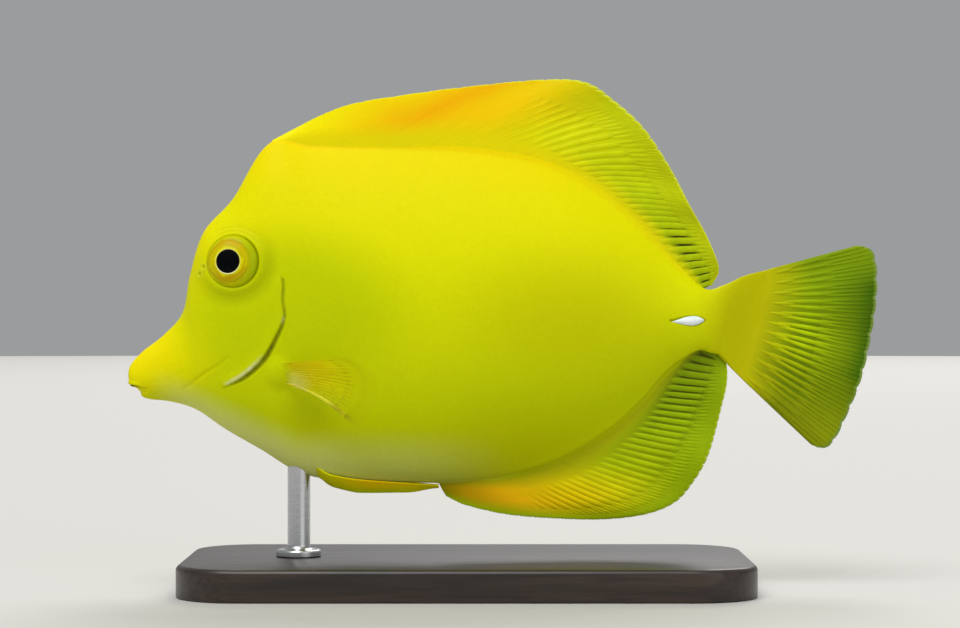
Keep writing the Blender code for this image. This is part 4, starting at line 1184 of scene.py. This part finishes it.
def thin_out(material, root_alpha, tip_alpha, ray_alpha):
    """Lets light and sight through a fin's skin, more so towards its rim and between its rays."""
    tree = material.node_tree
    along, out, rib = (mark(tree, name) for name in ("along", "out", "rib"))
    web = product(tree, between(tree, out, 0.10, 0.85, tip_alpha, root_alpha), between(tree, out, 0.02, 0.12))
    ray = product(tree, rib, between(tree, out, 0.12, 0.75, 0.03, ray_alpha), between(tree, out, 0.04, 0.14))
    ray = product(tree, ray, between(tree, along, 0.2, 0.8, 1.0, 0.35))
    lead = product(tree, between(tree, along, 0.92, 0.96), between(tree, out, 0.9, 0.5))
    shader = tree.nodes["Principled BSDF"]
    tree.links.new(total(tree, total(tree, web, ray), lead, clamp=True), shader.inputs["Alpha"])


thin_out(pectoral_paint, 0.16, 0.02, 0.50)
for side, label in ((-1, "left"), (1, "right")):
    for name, surface, rays, half, notch, strength, paint in (
        ("pectoral_fin_", pectoral_surface(), PECTORAL_RAYS, even_half(0.16, 0.05), 0.02, pectoral_strength, pectoral_paint),
        ("pelvic_fin_", pelvic_surface, PELVIC_RAYS, even_half(0.26, 0.12), 0.01, None, pelvic_paint),
    ):
        if side > 0:
            surface = mirrored(surface)
        web = fin_skin(name + label + "_web", surface, rays, half, notch, rows=24, columns_for_ray=8)
        web.data.materials.append(paint)
        ribs = swept_ribs(ray_lines(name + label + "_rays", surface, rays, strength, BACK_FORKS), paint)
        for piece in (web, ribs):
            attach(piece, "root")
        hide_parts(name + label)


# The tail blades.
# Each is a white, sharp, scale-like spine that lies in a groove of the tail stalk with its point forwards.
# It is a lens-shaped leaf of bone, polished and set in the skin.
BLADE_STEPS = 40
BLADE_SIDES = 24
BLADE_HALF_HEIGHT = 1.05
BLADE_PROUD = 0.62
BLADE_SINK = 0.9


def tail_blade(name, side):
    (x0, z), (x1, _) = BLADE_LINE
    points = []
    for i in range(BLADE_STEPS + 1):
        t = i / BLADE_STEPS
        full = (math.sin(math.pi * t**1.5) ** 0.75) if 0 < t < 1 else 0.0
        full = max(full, 0.03)
        place, _ = on_flank(x0 + (x1 - x0) * t, z)
        for j in range(BLADE_SIDES):
            turn = 2 * math.pi * j / BLADE_SIDES
            up, out = math.sin(turn), math.cos(turn)
            depth = BLADE_PROUD if out > 0 else BLADE_SINK
            keel = out * depth * full * (0.75 + 0.25 * (1 - abs(up)) ** 0.6)
            points.append((place.x, place.y + 0.15 - keel, z + 0.35 * (t - 0.6) + up * BLADE_HALF_HEIGHT * full))
    faces = [tuple(reversed(range(BLADE_SIDES))), tuple(range(BLADE_STEPS * BLADE_SIDES, len(points)))]
    for i in range(BLADE_STEPS):
        for j in range(BLADE_SIDES):
            a, b = i * BLADE_SIDES + j, i * BLADE_SIDES + (j + 1) % BLADE_SIDES
            faces.append((a, b, b + BLADE_SIDES, a + BLADE_SIDES))
    placed = np.array(points) * (1, -side, 1)
    mesh = bpy.data.meshes.new(name)
    mesh.from_pydata([Vector(p) * MM for p in sway(placed)], [], faces)
    face_outwards(mesh)
    mesh.shade_smooth()
    return new_piece(name, mesh)


def blade_material():
    """Polished white bone: milky, clouded with faint blue and warm white, with a soft gloss."""
    material, tree, shader = new_material("polished_white_bone", Roughness=0.28, IOR=1.5, Coat_Weight=0.3)
    shader.inputs["Subsurface Weight"].default_value = 0.2
    shader.inputs["Subsurface Radius"].default_value = (0.8, 0.8, 0.7)
    shader.inputs["Subsurface Scale"].default_value = 0.0006
    where = add(tree, "ShaderNodeTexCoord")
    cloud = add(tree, "ShaderNodeTexNoise", {"Vector": where.outputs["Object"], "Scale": 900.0, "Detail": 4.0})
    tone = add(tree, "ShaderNodeValToRGB", {"Fac": cloud.outputs["Fac"]})
    set_stops(tone, ((0.30, "#DCEEF4"), (0.55, "#F0FCFF"), (0.75, "#FFFFFA")))
    tree.links.new(tone.outputs[0], shader.inputs["Base Color"])
    bump = add(tree, "ShaderNodeBump", {"Height": cloud.outputs["Fac"], "Strength": 0.08, "Distance": 0.0002})
    tree.links.new(bump.outputs[0], shader.inputs["Normal"])
    return material


bone = blade_material()
for side, label in ((-1, "left"), (1, "right")):
    made = tail_blade("scalpel_" + label, side)
    made.data.materials.append(bone)
    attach(made, "root")
    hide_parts("tail_blade_" + label)


# The stand's base.
# A flat board of dark stained hardwood with round corners and an eased top edge, sanded and waxed.
BASE_LENGTH = 124.0
BASE_WIDTH = 64.0
BASE_HEIGHT = 7.0
BASE_CORNER = 14.0
BASE_BEVEL = 1.2
BASE_X = -8.0
CORNER_STEPS = 16


def base_ring(inset, z):
    ring = []
    for quarter in range(4):
        middle_x = (BASE_LENGTH / 2 - BASE_CORNER) * (1 if quarter in (0, 3) else -1)
        middle_y = (BASE_WIDTH / 2 - BASE_CORNER) * (1 if quarter in (0, 1) else -1)
        for i in range(CORNER_STEPS + 1):
            turn = math.radians(90 * quarter + 90 * i / CORNER_STEPS)
            reach = BASE_CORNER - inset
            ring.append((BASE_X + middle_x + reach * math.cos(turn), middle_y + reach * math.sin(turn), z))
    return ring


def base_board():
    profile = [(0.5, 0.0), (0.15, 0.15), (0.0, 0.5)]
    for i in range(7):
        turn = math.pi / 2 * i / 6
        profile.append((BASE_BEVEL * (1 - math.cos(turn)), BASE_HEIGHT - BASE_BEVEL * (1 - math.sin(turn))))
    points = [p for inset, z in profile for p in base_ring(inset, z)]
    count = 4 * (CORNER_STEPS + 1)
    faces = [tuple(reversed(range(count))), tuple(range(len(points) - count, len(points)))]
    for row in range(len(profile) - 1):
        for i in range(count):
            a, b = row * count + i, row * count + (i + 1) % count
            faces.append((a, b, b + count, a + count))
    mesh = bpy.data.meshes.new("base_board")
    mesh.from_pydata([Vector(p) * MM for p in points], [], faces)
    face_outwards(mesh)
    mesh.shade_smooth()
    mesh.set_sharp_from_angle(angle=math.radians(50))
    return new_piece("base_board", mesh)


def wood_material():
    """Waxed, dark stained hardwood: long fine grain with darker pores, satin with a soft reflection."""
    material, tree, shader = new_material("stained_waxed_hardwood", IOR=1.45, Coat_Weight=0.25)
    shader.inputs["Coat Roughness"].default_value = 0.22
    where = add(tree, "ShaderNodeTexCoord")
    long_grain = add(tree, "ShaderNodeMapping", {"Vector": where.outputs["Object"], "Scale": (6.0, 110.0, 90.0)})
    growth = add(tree, "ShaderNodeTexNoise", {"Vector": long_grain.outputs[0], "Scale": 1.6, "Detail": 5.0, "Distortion": 0.8})
    pores = add(tree, "ShaderNodeMapping", {"Vector": where.outputs["Object"], "Scale": (60.0, 1500.0, 1100.0)})
    fine = add(tree, "ShaderNodeTexNoise", {"Vector": pores.outputs[0], "Scale": 1.0, "Detail": 3.0})
    tone = add(tree, "ShaderNodeValToRGB", {"Fac": growth.outputs["Fac"]})
    set_stops(tone, ((0.30, "#1C1512"), (0.48, "#2E221C"), (0.62, "#3A2B22"), (0.75, "#241A16")))
    dark = add(tree, "ShaderNodeMapRange", {"Value": fine.outputs["Fac"], "From Min": 0.50, "From Max": 0.68, "To Max": 0.6})
    grained = add(tree, "ShaderNodeMix", {"Factor": dark.outputs[0], "A": tone.outputs[0], "B": linear("#120D0B")}, data_type="RGBA")
    tree.links.new(grained.outputs["Result"], shader.inputs["Base Color"])
    rough = add(tree, "ShaderNodeMapRange", {"Value": fine.outputs["Fac"], "To Min": 0.32, "To Max": 0.52})
    tree.links.new(rough.outputs[0], shader.inputs["Roughness"])
    bump = add(tree, "ShaderNodeBump", {"Height": fine.outputs["Fac"], "Strength": 0.15, "Distance": 0.0003})
    tree.links.new(bump.outputs[0], shader.inputs["Normal"])
    return material


board = base_board()
board.data.materials.append(wood_material())
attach(board, "root")
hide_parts("stand_base")


# The stand's rod.
# A turned steel rod with a flanged foot stands on the board and carries the fish under its chest.
ROD_X = -45.0
ROD_RADIUS = 2.5
FLANGE_RADIUS = 5.0
FLANGE_HEIGHT = 1.6
ROD_TOP_Z = 28.0
ROD_SIDES = 64


def turned_rod():
    foot = BASE_HEIGHT
    profile = [(0.0, foot), (FLANGE_RADIUS - 0.25, foot), (FLANGE_RADIUS, foot + 0.25), (FLANGE_RADIUS, foot + 1.0)]
    for i in range(6):
        turn = math.pi / 2 * i / 5
        profile.append((FLANGE_RADIUS - 0.5 + 0.5 * math.cos(turn), foot + FLANGE_HEIGHT - 0.5 + 0.5 * math.sin(turn)))
    for i in range(7):
        turn = math.pi / 2 * i / 6
        profile.append((ROD_RADIUS + 1.1 - 1.1 * math.sin(turn), foot + FLANGE_HEIGHT + 1.1 - 1.1 * math.cos(turn)))
    profile += [(ROD_RADIUS, ROD_TOP_Z), (0.0, ROD_TOP_Z)]
    points = []
    for radius, z in profile[1:-1]:
        for i in range(ROD_SIDES):
            turn = 2 * math.pi * i / ROD_SIDES
            points.append((ROD_X + radius * math.cos(turn), radius * math.sin(turn), z))
    faces = [tuple(reversed(range(ROD_SIDES))), tuple(range(len(points) - ROD_SIDES, len(points)))]
    for row in range(len(profile) - 3):
        for i in range(ROD_SIDES):
            a, b = row * ROD_SIDES + i, row * ROD_SIDES + (i + 1) % ROD_SIDES
            faces.append((a, b, b + ROD_SIDES, a + ROD_SIDES))
    mesh = bpy.data.meshes.new("turned_rod")
    mesh.from_pydata([Vector(p) * MM for p in points], [], faces)
    face_outwards(mesh)
    mesh.shade_smooth()
    mesh.set_sharp_from_angle(angle=math.radians(40))
    return new_piece("turned_rod", mesh)


def steel_material():
    """Brushed steel: fine turning marks round the rod that soften and stretch its reflections."""
    material, tree, shader = new_material("brushed_steel", Metallic=1.0)
    shader.inputs["Base Color"].default_value = linear("#C8C9CB")
    where = add(tree, "ShaderNodeTexCoord")
    marks = add(tree, "ShaderNodeMapping", {"Vector": where.outputs["Object"], "Scale": (60.0, 60.0, 9000.0)})
    brushed = add(tree, "ShaderNodeTexNoise", {"Vector": marks.outputs[0], "Scale": 1.0, "Detail": 2.0})
    rough = add(tree, "ShaderNodeMapRange", {"Value": brushed.outputs["Fac"], "To Min": 0.18, "To Max": 0.36})
    tree.links.new(rough.outputs[0], shader.inputs["Roughness"])
    bump = add(tree, "ShaderNodeBump", {"Height": brushed.outputs["Fac"], "Strength": 0.12, "Distance": 0.0001})
    tree.links.new(bump.outputs[0], shader.inputs["Normal"])
    return material


rod = turned_rod()
rod.data.materials.append(steel_material())
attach(rod, "root")
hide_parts("stand_rod")


# The display room: a pale floor, soft lamps and the camera.
floor_mesh = bpy.data.meshes.new("floor")
turns = [2 * math.pi * i / 128 for i in range(128)]
floor_mesh.from_pydata([(3.3 * math.cos(t), 3.3 * math.sin(t), 0) for t in turns], [], [tuple(range(128))])
floor = new_piece("floor", floor_mesh)
paper, paper_tree, paper_shader = new_material("matt_paper_floor", Roughness=0.85)
paper_shader.inputs["Base Color"].default_value = linear("#C6C4BF")
floor_mesh.materials.append(paper)

CAMERA_PLACE = (-5.17, -586.7, 60.3)
camera_data = bpy.data.cameras.new("camera")
camera_data.lens = 100
camera_data.sensor_width = 36
camera_data.clip_start = 0.01
camera = new_piece("camera", camera_data)
camera.location = Vector(CAMERA_PLACE) * MM
camera.rotation_euler = (math.pi / 2, 0, 0)
bpy.context.scene.camera = camera

for name, place, size, power in (
    ("key", (-1.00, -2.10, 4.00), 3.00, 155.0),
    ("fill", (2.75, -3.25, 1.50), 3.00, 25.0),
    ("back", (0.75, 3.00, 3.00), 2.50, 112.0),
):
    lamp = bpy.data.lights.new(name, "AREA")
    lamp.size = size
    lamp.energy = power
    holder = new_piece(name, lamp)
    holder.location = place
    aim = Vector((0, 0, 0.06)) - Vector(place)
    holder.rotation_euler = aim.to_track_quat("-Z", "Y").to_euler()

room = bpy.data.worlds.new("room")
room.use_nodes = True
room.node_tree.nodes["Background"].inputs[0].default_value = linear("#E4E6E8")
room.node_tree.nodes["Background"].inputs[1].default_value = 0.42
bpy.context.scene.world = room
bpy.context.scene.view_settings.view_transform = "Standard"
